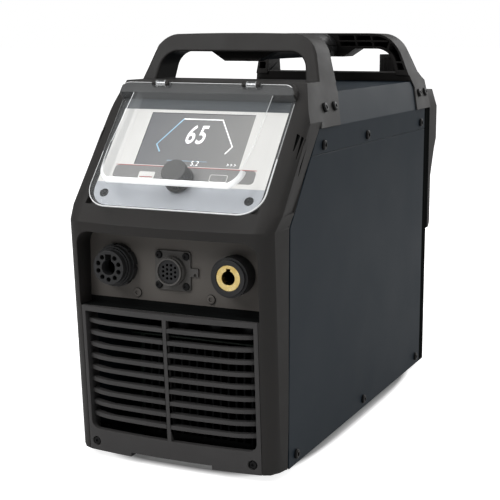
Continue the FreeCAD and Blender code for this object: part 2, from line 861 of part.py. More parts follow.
def screw_master(name, head_radius, head_height, shank_radius, length):
    """Button-head screw with a hexagonal socket."""
    body = new_body(name)
    pad(body, circle(new_sketch(body, "floor"), 0, 0, head_radius), head_height)
    fillet(body, head_height * 0.6, lambda edge: edge.BoundBox.ZMin > head_height.value - 0.01)
    pad(body, circle(new_sketch(body, "floor"), 0, 0, shank_radius), length, backwards=True)
    key = head_radius * 0.45
    hexagon = [(key * math.cos(math.radians(60 * n)), key * math.sin(math.radians(60 * n))) for n in range(6)]
    pocket(body, outline(new_sketch(body, "floor", head_height), hexagon), head_height * 0.6)
    return body


m4_head = size("m4_head_radius", 3.8)
m4_high = size("m4_head_height", 2.2)
m4_shank = size("m4_shank_radius", 2)
m4_long = size("m4_length", 8)
m5_head = size("m5_head_radius", 4.75)
m5_high = size("m5_head_height", 2.7)
m5_shank = size("m5_shank_radius", 2.5)
m5_long = size("m5_length", 14)
m3_head = size("m3_head_radius", 3.6)
m3_high = size("m3_head_height", 1.7)
m3_shank = size("m3_shank_radius", 1.5)
m3_long = size("m3_length", 6)
screw_m4 = screw_master("screw_m4", m4_head, m4_high, m4_shank, m4_long)
screw_m5 = screw_master("screw_m5", m5_head, m5_high, m5_shank, m5_long)
screw_m3 = screw_master("screw_m3", m3_head, m3_high, m3_shank, m3_long)
pan_head = size("pan_head_radius", 4.5)
screw_pan = screw_master("screw_pan", pan_head, m3_high, m4_shank, m4_long)


def laid(master, way, x, y, z):
    """One copy of a master at a place."""
    item = group(master.Name + "_laid", master)
    item.Placement.Rotation = SCREW_TURNS[way]
    place(item, x, y, z)
    return item


node(group("grille_screw_set", *[
    laid(screw_m4, "front", grille_screw_x * side, depth(grille_screw_y), grille_screw_z) for side in (-1,
        1)]),
    "grille_screws")

# Connector plate at the back of the recess, with its three sockets.
plate_sheet = size("plate_thickness", 2)
plate_margin = size("plate_margin", 2)
socket_height = size("socket_height", 191.8)
torch_x = size("torch_from_middle", -61.8)
cnc_x = size("cnc_from_middle", -3.3)
cnc_z = size("cnc_height", 190.6)
ground_x = size("ground_from_middle", 61.9)
plate_back = recess_depth + plate_sheet
torch_neck = size("torch_neck_radius", 13)
cnc_neck = size("cnc_neck_radius", 12.6)
ground_neck = size("ground_neck_radius", 14)
plate_screw_z = size("plate_screw_height", 166.3)
plate_screw_left = size("plate_screw_left", -41.7)
plate_screw_right = size("plate_screw_right", 35.6)
flange_half = size("flange_half_width", 18.7)
flange_screw = size("flange_screw_from_middle", 14.2)
tab_from = size("tether_tab_from", 16)
tab_to = size("tether_tab_to", 26.6)
tab_low = size("tether_tab_below", 4.6)
tab_high = size("tether_tab_above", 3.4)

plate = block("plate", plate_margin / 2 - recess_half - plastic, recess_half + plastic - plate_margin / 2,
              depth(recess_depth), depth(plate_back), recess_low - plate_margin, recess_high + plate_margin)
plate_holes = [
    rod("torch_hole", "y", torch_x, depth(0), socket_height, torch_neck, far),
    rod("cnc_hole", "y", cnc_x, depth(0), cnc_z, cnc_neck, far),
    rod("ground_hole", "y", ground_x, depth(0), socket_height, ground_neck, far)]
plate_holes += [rod("plate_screw_hole", "y", x, depth(0), plate_screw_z, m4_shank, far)
                for x in (plate_screw_left, plate_screw_right)]
plate_holes += [rod("flange_screw_hole", "y", cnc_x + flange_screw * a, depth(0), cnc_z + flange_screw * b,
                    m3_shank, far) for a in (-1, 1) for b in (-1, 1)]
node(cut("plate_cut", plate, *plate_holes), "connector_plate")
node(group("plate_screw_set", *[laid(screw_pan, "front", x, depth(recess_depth), plate_screw_z)
                                for x in (plate_screw_left, plate_screw_right)]), "plate_screws")

torch_face = size("torch_face_radius", 16.2)
torch_shoulder = size("torch_shoulder_radius", 17.5)
torch_step = size("torch_step_depth", 6)
torch_tail = size("torch_tail_depth", 48)
torch_bore = size("torch_bore_radius", 7.2)
torch_pilot = size("torch_contact_radius", 2.3)
torch_circle = size("torch_contact_circle", 11.4)
torch_bore_depth = size("torch_bore_depth", 22)
contact_depth = size("torch_contact_depth", 9)
contact_places = 10
key_half = size("torch_key_half_width", 3.2)
key_reach = size("torch_key_reach", 12.6)
torch_solid = fuse("torch_solid",
                   rod("torch_front", "y", torch_x, depth(0), socket_height, torch_face, recess_depth),
                   rod("torch_seat", "y", torch_x, depth(torch_step), socket_height, torch_shoulder,
                       recess_depth - torch_step),
                   rod("torch_body", "y", torch_x, depth(0), socket_height, torch_neck, torch_tail))
torch_cuts = [
    rod("torch_bore", "y", torch_x, depth(0), socket_height, torch_bore, torch_bore_depth),
    block("torch_key", torch_x - key_half, torch_x + key_half, depth(0), depth(contact_depth),
          socket_height, socket_height + key_reach)]
for number in range(1, contact_places):
    turn = math.radians(360 * number / contact_places + 90)
    torch_cuts.append(rod("torch_contact", "y", torch_x + torch_circle * math.cos(turn), depth(0),
                          socket_height + torch_circle * math.sin(turn), torch_pilot, contact_depth))
node(cut("torch_cut", cut("torch_open", torch_solid, *torch_cuts[:2]), group("torch_contacts",
                                                                             *torch_cuts[2:])),
     "torch_socket")

nut_radius = size("torch_nut_radius", 20.5)
nut_collar = size("torch_nut_collar_radius", 19)
nut_front = size("torch_nut_front_depth", 8)
nut_mid = size("torch_nut_middle_depth", 13)
nut_notches = 8
notch_radius = size("torch_nut_notch_radius", 2.2)
nut_solid = fuse("nut_solid",
                 rod("nut_collar", "y", torch_x, depth(nut_front), socket_height, nut_collar,
                     recess_depth - nut_front),
                 rod("nut_flange", "y", torch_x, depth(nut_mid), socket_height, nut_radius,
                     recess_depth - nut_mid))
nut_cuts = [rod("nut_bore", "y", torch_x, depth(0), socket_height, torch_shoulder, far)]
for number in range(nut_notches):
    turn = math.radians(360 * number / nut_notches)
    nut_cuts.append(rod("nut_notch", "y", torch_x + (nut_radius + notch_radius / 2) * math.cos(turn),
                        depth(nut_mid - 1),
                        socket_height + (nut_radius + notch_radius / 2) * math.sin(turn), notch_radius, far))
node(cut("nut_cut", cut("nut_open", nut_solid, nut_cuts[0]), group("nut_notches", *nut_cuts[1:])),
     "torch_ring_nut")

cnc_face = size("cnc_face_depth", 9.5)
cnc_barrel = size("cnc_barrel_radius", 13)
cnc_thread = size("cnc_ring_radius", 14)
cnc_ring_from = size("cnc_ring_depth", 13)
cnc_cavity = size("cnc_cavity_radius", 11.4)
cnc_insert_face = size("cnc_insert_depth", 11)
cnc_tail = size("cnc_tail_depth", 38)
flange_sheet = size("flange_thickness", 2)
pin_hole = size("cnc_pin_radius", 1.3)
pin_pitch = size("cnc_pin_pitch", 4.15)
flange_round = size("flange_corner_radius", 3)
flange_body = new_body("flange_body")
pad(flange_body, rounded_rectangle(new_sketch(flange_body, "front", depth(recess_depth)),
                                   cnc_x - flange_half, cnc_x + flange_half, cnc_z - flange_half,
                                   cnc_z + flange_half, flange_round), flange_sheet)
cnc_solid = fuse("cnc_solid", flange_body,
                 rod("cnc_barrel", "y", cnc_x, depth(cnc_face), cnc_z, cnc_barrel, recess_depth - cnc_face),
                 rod("cnc_ring", "y", cnc_x, depth(cnc_ring_from), cnc_z, cnc_thread,
                     recess_depth - cnc_ring_from),
                 rod("cnc_back", "y", cnc_x, depth(cnc_ring_from), cnc_z, cnc_neck,
                     cnc_tail - cnc_ring_from),
                 block("tether_tab", cnc_x + tab_from, cnc_x + tab_to, depth(recess_depth - flange_sheet),
                       depth(recess_depth), cnc_z - tab_low, cnc_z + tab_high))
cnc_cuts = [rod("cnc_cavity", "y", cnc_x, depth(0), cnc_z, cnc_cavity, cnc_tail - plastic)]
cnc_cuts += [rod("flange_hole", "y", cnc_x + flange_screw * a, depth(0), cnc_z + flange_screw * b,
                 m3_shank, far) for a in (-1, 1) for b in (-1, 1)]
cnc_cuts.append(rod("tab_hole", "y", cnc_x + tab_to - pin_hole * 2.5, depth(0), cnc_z - pin_hole * 2.2,
                    pin_hole, far))
node(cut("cnc_cut", cnc_solid, *cnc_cuts), "cnc_socket")
node(group("flange_screw_set", *[
    laid(screw_m3, "front", cnc_x + flange_screw * a, depth(recess_depth - flange_sheet),
         cnc_z + flange_screw * b)
    for a in (-1, 1) for b in (-1, 1)]), "flange_screws")
insert_columns = [(1.5, 3), (0.5, 4), (-0.5, 4), (-1.5, 3)]
insert_holes = []
for column, count in insert_columns:
    for number in range(count):
        insert_holes.append(rod("insert_hole", "y", cnc_x + pin_pitch * column, depth(0),
                                cnc_z + pin_pitch * (number - (count - 1) / 2), pin_hole,
                                cnc_insert_face + contact_depth))
node(cut("insert_cut", rod("insert", "y", cnc_x, depth(cnc_insert_face), cnc_z, cnc_cavity,
                           cnc_tail - plastic - cnc_insert_face), group("insert_hole_set", *insert_holes)),
                           "cnc_insert")

ground_shell = size("ground_shell_radius", 18.5)
ground_edge = size("ground_front_radius", 16.5)
ground_step = size("ground_front_step", 3)
ground_brass = size("ground_brass_radius", 12)
ground_bore = size("ground_bore_radius", 6.5)
ground_bore_depth = size("ground_bore_depth", 26)
ground_tail = size("ground_tail_depth", 46)
ground_inset = size("ground_brass_inset", 1)
ground_key = size("ground_key_half_width", 2)
ground_solid = fuse("ground_solid",
                    rod("ground_lip", "y", ground_x, depth(0), socket_height, ground_edge, recess_depth),
                    rod("ground_shell", "y", ground_x, depth(ground_step), socket_height, ground_shell,
                        recess_depth - ground_step),
                    rod("ground_sleeve", "y", ground_x, depth(0), socket_height, ground_neck,
                        ground_tail - contact_depth))
node(cut("ground_cut", ground_solid, rod("ground_room", "y", ground_x, depth(-1), socket_height, ground_brass,
                                         far + far)),
     "ground_socket")
node(cut("brass_cut", rod("brass", "y", ground_x, depth(ground_inset), socket_height, ground_brass,
                          ground_tail - ground_inset),
         rod("brass_bore", "y", ground_x, depth(0), socket_height, ground_bore, ground_bore_depth),
         block("brass_key", ground_x - ground_key, ground_x + ground_key, depth(0),
               depth(ground_bore_depth - 12),
               socket_height, socket_height + ground_bore + ground_key)), "ground_contact")

# Display: printed overlay plate, display module behind its window, and the rotary control.
screen_half = size("screen_half_width", 55)
screen_low = size("screen_bottom_on_slope", 69)
screen_high = size("screen_top_on_slope", 129.8)
screen_recess = size("screen_recess", 0.4)
screen_margin = size("screen_margin", 4)
screen_deep = size("screen_module_depth", 5)
knob_at = size("knob_on_slope", 52.8)
bushing = size("encoder_bushing_radius", 4.5)
panel_screw_x = size("panel_screw_from_middle", 75)
panel_screw_at = size("panel_screw_on_slope", 35.3)
panel_face = -seat_depth
panel_rear = panel_face - panel_sheet
module_face = panel_rear - 0.1

m4_well = size("m4_well_radius", 4.2)
well_depth = size("panel_well_depth", 2.3)
panel_flat = new_body("panel_flat")
pad(panel_flat, outline(new_sketch(panel_flat, "floor", panel_rear), [
    (-panel_half + panel_round, panel_low), (panel_half - panel_round, panel_low, panel_round),
    (panel_half, panel_low + panel_round), (panel_half, rail_low - gap), (-panel_half, rail_low - gap),
    (-panel_half, panel_low + panel_round, panel_round)]), panel_sheet)
pocket(panel_flat, rectangle(new_sketch(panel_flat, "floor", panel_face), -screen_half, screen_half,
                             screen_low,
                             screen_high), panel_sheet * 2)
pocket(panel_flat, circle(new_sketch(panel_flat, "floor", panel_face), 0, knob_at, bushing), panel_sheet * 2)
for side in (-1, 1):
    pocket(panel_flat, circle(new_sketch(panel_flat, "floor", panel_face), panel_screw_x * side,
                              panel_screw_at,
                              m4_shank), panel_sheet * 2)
for side in (-1, 1):
    pocket(panel_flat, circle(new_sketch(panel_flat, "floor", panel_face), panel_screw_x * side,
                              panel_screw_at,
                              m4_well), well_depth)
node(on_slope(panel_flat), "display_panel")

screen_flat = new_body("screen_flat")
pad(screen_flat, rectangle(new_sketch(screen_flat, "floor", module_face - screen_deep),
                           -screen_half - screen_margin,
                           screen_half + screen_margin, screen_low - screen_margin,
                           screen_high + screen_margin),
    screen_deep)
pad(screen_flat, rectangle(new_sketch(screen_flat, "floor", module_face), gap - screen_half,
                           screen_half - gap,
                           screen_low + gap, screen_high - gap), panel_face - screen_recess - module_face)
node(on_slope(screen_flat), "display_screen")

encoder_half = size("encoder_half_width", 7)
encoder_deep = size("encoder_depth", 8)
bushing_rise = size("encoder_bushing_rise", 3)
shaft_radius = size("encoder_shaft_radius", 3)
shaft_top = size("encoder_shaft_top", 11)
knob_low = size("knob_underside", -1.6)
knob_high = size("knob_top", 14.5)
knob_radius = size("knob_top_radius", 12.5)
knob_base = size("knob_base_radius", 14)
knob_skirt = size("knob_skirt_height", 3.2)
knob_wall = size("knob_wall", 2)
push_travel = size("push_travel", 0.8)
plunger_radius = size("encoder_plunger_radius", 5)
plunger_sheet = size("encoder_plunger_thickness", 1.5)
encoder_floor = panel_rear - encoder_deep + 1
encoder_solid = fuse("encoder_solid",
                     block("encoder_box", -encoder_half, encoder_half, knob_at - encoder_half,
                           knob_at + encoder_half, panel_rear - encoder_deep, panel_rear),
                     rod("encoder_bush", "z", 0, knob_at, panel_rear, bushing, panel_sheet + bushing_rise))
node(on_slope(cut("encoder_cut", encoder_solid,
                  rod("encoder_bore", "z", 0, knob_at, panel_rear - encoder_deep + 1, shaft_radius + running,
                      far),
                  rod("encoder_room", "z", 0, knob_at, encoder_floor, plunger_radius + gap,
                      encoder_deep - 2.5))),
     "encoder_body")
plunger_low = encoder_floor + push_travel + gap
shaft_low = plunger_low + plunger_sheet
node(on_slope(group("plunger_flat", rod("plunger", "z", 0, knob_at, plunger_low, plunger_radius,
                                        plunger_sheet))),
     "encoder_plunger")
node(on_slope(group("shaft_flat", rod("shaft", "z", 0, knob_at, shaft_low, shaft_radius,
                                      shaft_top - shaft_low))),
     "encoder_shaft")

knob_ribs = 24
knob_rib = size("knob_rib_radius", 1.2)
knob_solid = new_body("knob_solid")
profile = new_sketch(knob_solid, "side")
outline(profile, [
    (0, knob_low), (knob_base, knob_low), (knob_base, knob_low + 1.6), (knob_radius + 0.5,
                                                                        knob_low + knob_skirt),
    (knob_radius, knob_high - 1.5, 1.5), (knob_radius - 1.5, knob_high), (0, knob_high)])
turned = knob_solid.newObject("PartDesign::Revolution", "knob_turned")
turned.Profile = profile
turned.ReferenceAxis = (profile, ["V_Axis"])
turned.Angle = 360
knob_cuts = [
    rod("knob_hub_bore", "z", 0, 0, knob_low - 1, shaft_radius + running, shaft_top - knob_low + 1 + running),
    cut("knob_room", rod("knob_room_out", "z", 0, 0, knob_low - 1, knob_radius - knob_wall,
                         knob_high - knob_wall - knob_low + 1),
        rod("knob_hub", "z", 0, 0, bushing_rise + 1, shaft_radius + knob_wall, far))]
flutes = []
for number in range(knob_ribs):
    turn = math.radians(360 * number / knob_ribs)
    flutes.append(rod("knob_flute", "z", (knob_radius + knob_rib / 2) * math.cos(turn),
                      (knob_radius + knob_rib / 2) * math.sin(turn), knob_low + knob_skirt + 0.8,
                      knob_rib, far))
knob_cut = cut("knob_cut", cut("knob_hollow", knob_solid, *knob_cuts), group("knob_flutes", *flutes))
place(knob_cut, 0, knob_at, 0)
node(on_slope(group("knob_flat", knob_cut)), "encoder_knob")
node(on_slope(group("panel_screw_set", *[laid(screw_m4, "up", panel_screw_x * side, panel_screw_at,
                                              panel_face - well_depth)
                                         for side in (-1, 1)])), "panel_screws")

# Clear cover: a thin-walled bubble with a flange that lies in the frame's seat, hinged on the rail.
bubble_half = size("bubble_half_width", 74)
bubble_low = size("bubble_bottom_on_slope", 31)
bubble_round = size("bubble_corner_radius", 22)
bubble_draft = size("bubble_draft", 3)
bubble_deep = size("bubble_height_low", 22)
bubble_shallow = size("bubble_height_top", 11.2)
cover_end = hinge_at + 1
cover_lift = gap


def bubble(name, inset, below):
    """Bubble solid, its wall moved inwards by inset."""
    half = bubble_half - inset
    low = bubble_low + inset
    turn_in = bubble_round - inset
    plan = prism_along_z(name + "_plan", [
        (-half, low + turn_in, turn_in), (turn_in - half, low), (half - turn_in, low, turn_in), (half,
            low + turn_in),
        (half, cover_end), (-half, cover_end)], below, far)
    side = prism_along_x(name + "_side", [
        (low, below), (low + bubble_draft, bubble_deep - inset), (cover_end, bubble_shallow - inset),
        (cover_end, below)], case_half)
    return common(name, plan, side)


cover_flange = prism_along_z("cover_flange", [
    (-cover_half, cover_low + cover_round, cover_round), (cover_round - cover_half, cover_low),
    (cover_half - cover_round, cover_low, cover_round), (cover_half, cover_low + cover_round),
    (cover_half, rail_low - cover_play), (-cover_half, rail_low - cover_play)], cover_lift - seat_depth,
    as_size(0))
cover_turn = size("cover_top_corner_radius", 9)
cover_riser = rail_low - cover_play - cover_sheet
cover_top = prism_along_z("cover_top", [
    (-cover_half, cover_riser), (cover_half, cover_riser), (cover_half, cover_end - cover_turn, cover_turn),
    (cover_half - cover_turn, cover_end), (cover_turn - cover_half, cover_end, cover_turn),
    (-cover_half, cover_end - cover_turn)], rail_proud + cover_lift, bubble_shallow)
riser = block("riser", -cover_half, cover_half, cover_riser, rail_low - cover_play, cover_lift - seat_depth,
              bubble_shallow)
barrels = [rod("barrel", "x", hinge_out * side - hinge_barrel / 2, hinge_at, hinge_above, hinge_radius,
               hinge_barrel)
           for side in (-1, 1)]
cover_cuts = [
    bubble("cover_room", cover_sheet, -seat_depth),
    block("rail_room", -far * 2, far * 2, rail_low - cover_play, rail_high, -far, rail_proud + cover_lift)]
for side in (-1, 1):
    for end in (-1, 1):
        middle = hinge_out * side + (hinge_barrel / 2 + gap + ear_width / 2) * end
        reach = ear_width / 2 + gap
        cover_cuts.append(block("ear_room", middle - reach, middle + reach, hinge_at - hinge_radius - gap * 2,
                                rail_high, as_size(0), far))
cover_bores = hinge_rods("cover_bores", pin_radius + running, as_size(0))
cover_shell = cut("cover_shell", fuse("cover_whole", cover_flange, cover_top, riser,
                                         bubble("cover_bubble", as_size(0), -seat_depth / 2)),
                  *cover_cuts)
cover_laid = on_slope(fuse("cover_laid", cover_shell, *barrels))
node(cut("cover_cut", cover_laid, cover_bores), "clear_cover")
node(hinge_rods("cover_pin_set", pin_radius, as_size(0)), "cover_pins")

# Sheet metal: a top cover with two flanges that reach down to the seam, and a flat panel below it each side.
skin_rear = case_depth + skin_front
skin_end = skin_rear - gap
side_screw_low = size("side_screw_low", 18)
side_screw_high = size("side_screw_high", 303.5)
side_screw_mid = size("side_screw_middle_depth", 241.5)
side_screw_back = size("side_screw_rear_depth", 433)
low_screw_front = size("low_screw_front_depth", 51.4)
high_screw_front = size("high_screw_front_depth", 115.4)
handle_screw_z = size("handle_screw_height", 338)
front_screw_near = size("front_handle_screw_near", 126.8)
front_screw_away = size("front_handle_screw_away", 152.5)
rear_screw_near = size("rear_handle_screw_near", 436.6)
rear_screw_away = size("rear_handle_screw_away", 460)
lean_length = root(1 + side_lean * side_lean)
high_screw_depths = (high_screw_front, side_screw_mid, side_screw_back)
low_screw_depths = (low_screw_front, side_screw_mid, side_screw_back)


def side_holes(name, z, depths, radius):
    """Round holes through both sides of the case."""
    return [rod(name, "x", -case_half - far, depth(y), z, radius, (case_half + far) * 2) for y in depths]


def cover_section(name, drop, inset):
    """Outline of the case from the seam up, moved inwards by inset."""
    top_x = case_half - shoulder_inset - inset * (lean_length - side_lean)
    shoulder_z = shoulder_height - inset * (lean_length - 1) / side_lean
    return prism_along_y(name, [
        (case_half - inset, seam_height - drop), (case_half - inset, shoulder_z), (top_x, case_top - inset),
        (-top_x, case_top - inset), (inset - case_half, shoulder_z), (inset - case_half, seam_height - drop)],
        depth(0), depth(skin_end))


def foot_holes(name, near, away, radius):
    """Screw holes square to the leaning faces of a foot."""
    holes = []
    for side in (-1, 1):
        for y in (near, away):
            item = rod(name, "z", 0, 0, -far / 2, radius, far)
            laid_hole = group(name + "_laid", item)
            laid_hole.Placement.Rotation = SCREW_TURNS["right_lean" if side > 0 else "left_lean"]
            place(laid_hole, edge_at(handle_screw_z) * side, depth(y), handle_screw_z)
            holes.append(laid_hole)
    return holes


cover_profile = prism_along_x("cover_profile", [
    (depth(skin_edge_at(seam_height) + gap), seam_height), (depth(skin_end), seam_height),
    (depth(skin_end), case_top + 1), (depth(skin_edge_at(case_top + 1) + gap), case_top + 1)],
    case_half + far)
node(cut("top_cover_cut", common("top_cover_side", cut("top_cover_shell", cover_section("top_out", 0,
     as_size(0)),
                                                       cover_section("top_in", 5, skin)), cover_profile),
         group("top_cover_holes", *side_holes("top_cover_hole", side_screw_high, high_screw_depths, m5_shank),
               *foot_holes("cover_front_hole", front_screw_near, front_screw_away, m5_shank),
               *foot_holes("cover_rear_hole", rear_screw_near, rear_screw_away, m5_shank))), "top_cover")

lap_low = size("lap_low", 283)
lap_sheet = size("lap_sheet", 1.2)
panel_profile = prism_along_x("panel_profile", [
    (depth(skin_front + gap), case_bottom), (depth(skin_end), case_bottom), (depth(skin_end),
                                                                             seam_height + seam_lap),
    (depth(skin_edge_at(seam_height + seam_lap) + gap), seam_height + seam_lap),
    (depth(skin_front + gap), knee_height)], case_half + far)
for side, label in ((-1, "left_side_panel"), (1, "right_side_panel")):
    def between(name, near, away, z0, z1):
        x0, x1 = sorted((as_size(near) * side, as_size(away) * side), key=lambda item: item.value)
        return block(name, x0, x1, depth(0), depth(skin_rear), z0, z1)
    inner = case_half - skin
    sheets = fuse(label + "_sheets", between(label + "_flat", inner, case_half, case_bottom,
                                             seam_height - gap),
                  between(label + "_joggle", inner - lap_sheet - gap, inner, lap_low, seam_height - gap),
                  between(label + "_lap", inner - lap_sheet - gap, inner - gap, lap_low,
                          seam_height + seam_lap))
    holes = side_holes(label + "_hole", side_screw_low, low_screw_depths, m5_shank)
    holes += side_holes(label + "_lap_hole", side_screw_high, high_screw_depths, m5_shank)
    node(cut(label + "_cut", common(label + "_shape", sheets, panel_profile), group(label + "_holes",
         *holes)), label)

tray_sheet = size("tray_sheet", 1.5)
tray_flange = size("tray_flange_height", 20)
tray_front = size("tray_front_depth", 36)
tray_half = case_half - skin
node(cut("tray_cut", cut("tray_bend", block("tray_block", -tray_half, tray_half, depth(tray_front),
                                            depth(skin_end),
                                            case_bottom, case_bottom + tray_flange),
                         block("tray_room", tray_sheet - tray_half, tray_half - tray_sheet, depth(0),
                               depth(skin_rear + far),
                               case_bottom + tray_sheet, case_bottom + far)),
         group("tray_holes", *side_holes("tray_hole", side_screw_low, low_screw_depths, m5_shank))),
         "base_tray")
tray_top = case_bottom + tray_sheet

node(group("side_screw_set", *[laid(screw_m5, way, case_half * side, depth(y), z)
                               for side, way in ((-1, "left"), (1, "right"))
                               for z, depths in ((side_screw_low, low_screw_depths), (side_screw_high,
                                                 high_screw_depths))
                               for y in depths]), "side_screws")

# Rear wall: a moulding with a rim that the skin ends against.
wall_rear = skin_rear + 7
wall_sheet = size("rear_wall_thickness", 3)
rim = size("rear_rim", 4)
fan_height = size("fan_height", 80)
fan_open = size("fan_opening_radius", 57)
hood_low = size("hood_bottom", 172)
hood_top = size("hood_top", 340)
hood_window = size("hood_window_margin", 14)
wall_out = prism_along_y("wall_out", [
    (case_half, case_bottom), (case_half, shoulder_height), (case_half - shoulder_inset, case_top),
    (shoulder_inset - case_half, case_top), (-case_half, shoulder_height), (-case_half, case_bottom)],
    depth(skin_rear), depth(wall_rear))
wall_room = prism_along_y("wall_room", [
    (case_half - rim, case_bottom + rim), (case_half - rim, shoulder_height),
    (case_half - shoulder_inset - rim, case_top - rim), (rim + shoulder_inset - case_half, case_top - rim),
    (rim - case_half, shoulder_height), (rim - case_half, case_bottom + rim)],
    depth(skin_rear - 1), depth(wall_rear - wall_sheet))
guard_screw = size("fan_screw_from_middle", 52.5)
fan_screw_hole = size("fan_screw_hole_radius", 2.1)
fan_holes = [rod("fan_hole", "y", guard_screw * a, depth(skin_rear - far), fan_height + guard_screw * b,
                 fan_screw_hole, far * 2) for a in (-1, 1) for b in (-1, 1)]
node(cut("wall_cut", wall_out, wall_room, group("wall_foot_holes", *foot_holes(
    "wall_foot_hole", rear_screw_near, rear_screw_away, m5_shank)), group("wall_holes", rod("fan_opening",
                                                                          "y", 0, depth(skin_rear - 1),
                                                                          fan_height,
                                                                fan_open, far),
                                               block("hood_window", hood_window - case_half,
                                                     case_half - hood_window,
                                                     depth(skin_rear - 1), depth(wall_rear + 1),
                                                     hood_low + hood_window, hood_top - hood_window),
                                                     *fan_holes)),
     "rear_panel")

# Rear handle: the second arch on its own saddle, open towards the front.
rear_saddle_back = size("rear_saddle_back", 461)
rear_foot = [
    (depth(414), shoulder_height), (depth(468), shoulder_height), (depth(474.5), case_top + 1),
    (depth(465), ledge_height - 5), (depth(458), ledge_height), (depth(417), ledge_height), (depth(427),
        case_top - 6.5)]
rear_middle = block("rear_middle", -window_half - rib_corner, window_half + rib_corner,
                    depth(rear_saddle_back),
                    depth(case_depth + far * 2), shoulder_height, lean_top)
rear_saddle = cut("rear_saddle_cut", saddle("rear_saddle", rear_foot), rear_middle)
rear_front_line = [(416.8, 359), (409.5, 384), (400, 395.5), (392.5, 407.5)]
rear_back_line = [(427.8, 407.5), (437, 392), (448, 376), (458, 359)]
rear_arch = common("rear_arch", arch_ring("rear_ring", arch_base, as_size(0), True),
                   prism_along_x("rear_ring_side", [
    (depth(y), z) for y, z in rear_front_line + rear_back_line], case_half + far))
rear_cavity = arch_cavity("rear_cavity", [
    (depth(rear_front_line[0][0] - far), arch_base), (depth(rear_front_line[0][0] - far), lean_top),
    (depth(rear_back_line[0][0] - arch_wall * 2), lean_top)] + [
    (depth(y - arch_wall * 1.2), z) for y, z in rear_back_line])


node(cut("rear_handle_cut", fuse("rear_handle_whole", rear_saddle, rear_arch), rear_cavity,
         *foot_holes("rear_foot_hole", rear_screw_near, rear_screw_away, m5_shank)), "rear_handle")
for label, near, away in (("front_handle_screws", front_screw_near, front_screw_away),
                          ("rear_handle_screws", rear_screw_near, rear_screw_away)):
    node(group(label + "_set", *[laid(screw_m5, way, edge_at(handle_screw_z) * side, depth(y), handle_screw_z)
                                 for side, way in ((-1, "left_lean"), (1, "right_lean")) for y in (near,
                                     away)]), label)

# Grip: a round bar between the two arches, parted along its middle height, with a collar at each end.
grip_radius = size("grip_radius", 13)
grip_height = size("grip_height", 393.4)
grip_collar = size("grip_collar_radius", 14)
collar_length = size("grip_collar_length", 9)
grip_line = size("grip_parting_line", 0.8)
grip_front = size("grip_front_depth", 185)
grip_back = size("grip_back_depth", 394)
grip_side = prism_along_x("grip_side", [
    (depth(front_arch_back(boss_under - 5) + gap), boss_under - 5),
    (depth(rear_front_line[1][0] - gap * 2), boss_under - 5),
    *[(depth(y - gap * 2), z) for y, z in rear_front_line[1:]], (depth(rear_front_line[-1][0] - gap * 2),
                                                                 lean_top),
    (depth(front_arch_back(lean_top) + gap), lean_top)], case_half)
grip_bar = fuse("grip_bar", rod("grip_rod", "y", 0, depth(arch_rear), grip_height, grip_radius, 240),
                rod("grip_front_collar", "y", 0, depth(arch_rear), grip_height, grip_collar,
                    grip_front + collar_length - arch_rear),
                rod("grip_rear_collar", "y", 0, depth(grip_back - collar_length), grip_height, grip_collar,
                    30))
groove = cut("groove", block("groove_block", -far, far, depth(0), depth(case_depth),
                             grip_height - grip_line / 2,
                             grip_height + grip_line / 2),
             rod("groove_core", "y", 0, depth(0), grip_height, grip_radius - grip_line, case_depth))
node(cut("grip_cut", common("grip_shape", grip_bar, grip_side), groove), "carry_grip")

# Rear hood over the air and mains connections.
hood_section = prism_along_y("hood_section", [
    (case_half, case_bottom), (case_half, shoulder_height), (case_half - shoulder_inset, case_top),
    (shoulder_inset - case_half, case_top), (-case_half, shoulder_height), (-case_half, case_bottom)],
    depth(wall_rear), depth(wall_rear + far))
hood_solid = common("hood_solid", hood_section, prism_along_x("hood_side", [
    (depth(wall_rear), hood_top), (depth(wall_rear), hood_low), (depth(478), hood_low), (depth(482),
        hood_low + 6),
    (depth(482), knee_height), (depth(495), 267), (depth(503), 280), (depth(503), hood_top)], case_half))
hood_room = common("hood_room", prism_along_y("hood_room_section", [
    (case_half - plastic, case_bottom), (case_half - plastic, shoulder_height),
    (case_half - shoulder_inset - plastic, case_top), (plastic + shoulder_inset - case_half, case_top),
    (plastic - case_half, shoulder_height), (plastic - case_half, case_bottom)],
    depth(wall_rear - 1), depth(wall_rear + far)), prism_along_x("hood_room_side", [
        (depth(wall_rear - 1), hood_top - plastic), (depth(wall_rear - 1), hood_low + plastic),
        (depth(478), hood_low + plastic), (depth(479), hood_low + 6), (depth(479), knee_height + 1),
        (depth(492), 268), (depth(500), 281), (depth(500), hood_top - plastic)], case_half))
knob_x = size("regulator_from_middle", 57)
knob_y = size("regulator_depth", 485.5)
knob_stem = size("regulator_stem_radius", 5)
inlet_x = size("inlet_from_middle", 57)
inlet_z = size("inlet_height", 205)
inlet_hole = size("inlet_hole_radius", 8)
mains_x = size("mains_switch_from_middle", -55)
mains_z = size("mains_switch_height", 206)
mains_stem = size("mains_stem_radius", 4)
gland_x = size("gland_from_middle", 0)
gland_hole = size("gland_hole_radius", 9)
node(cut("hood_cut", hood_solid, hood_room,
         group("hood_holes", rod("stem_hole", "z", knob_x, depth(knob_y), hood_top - 10, knob_stem + gap, 20),
               rod("inlet_hole", "y", inlet_x, depth(472), inlet_z, inlet_hole, 20),
               rod("mains_hole", "y", mains_x, depth(472), mains_z, mains_stem + gap, 20),
               rod("gland_hole", "y", gland_x, depth(472), mains_z, gland_hole, 20))), "rear_hood")

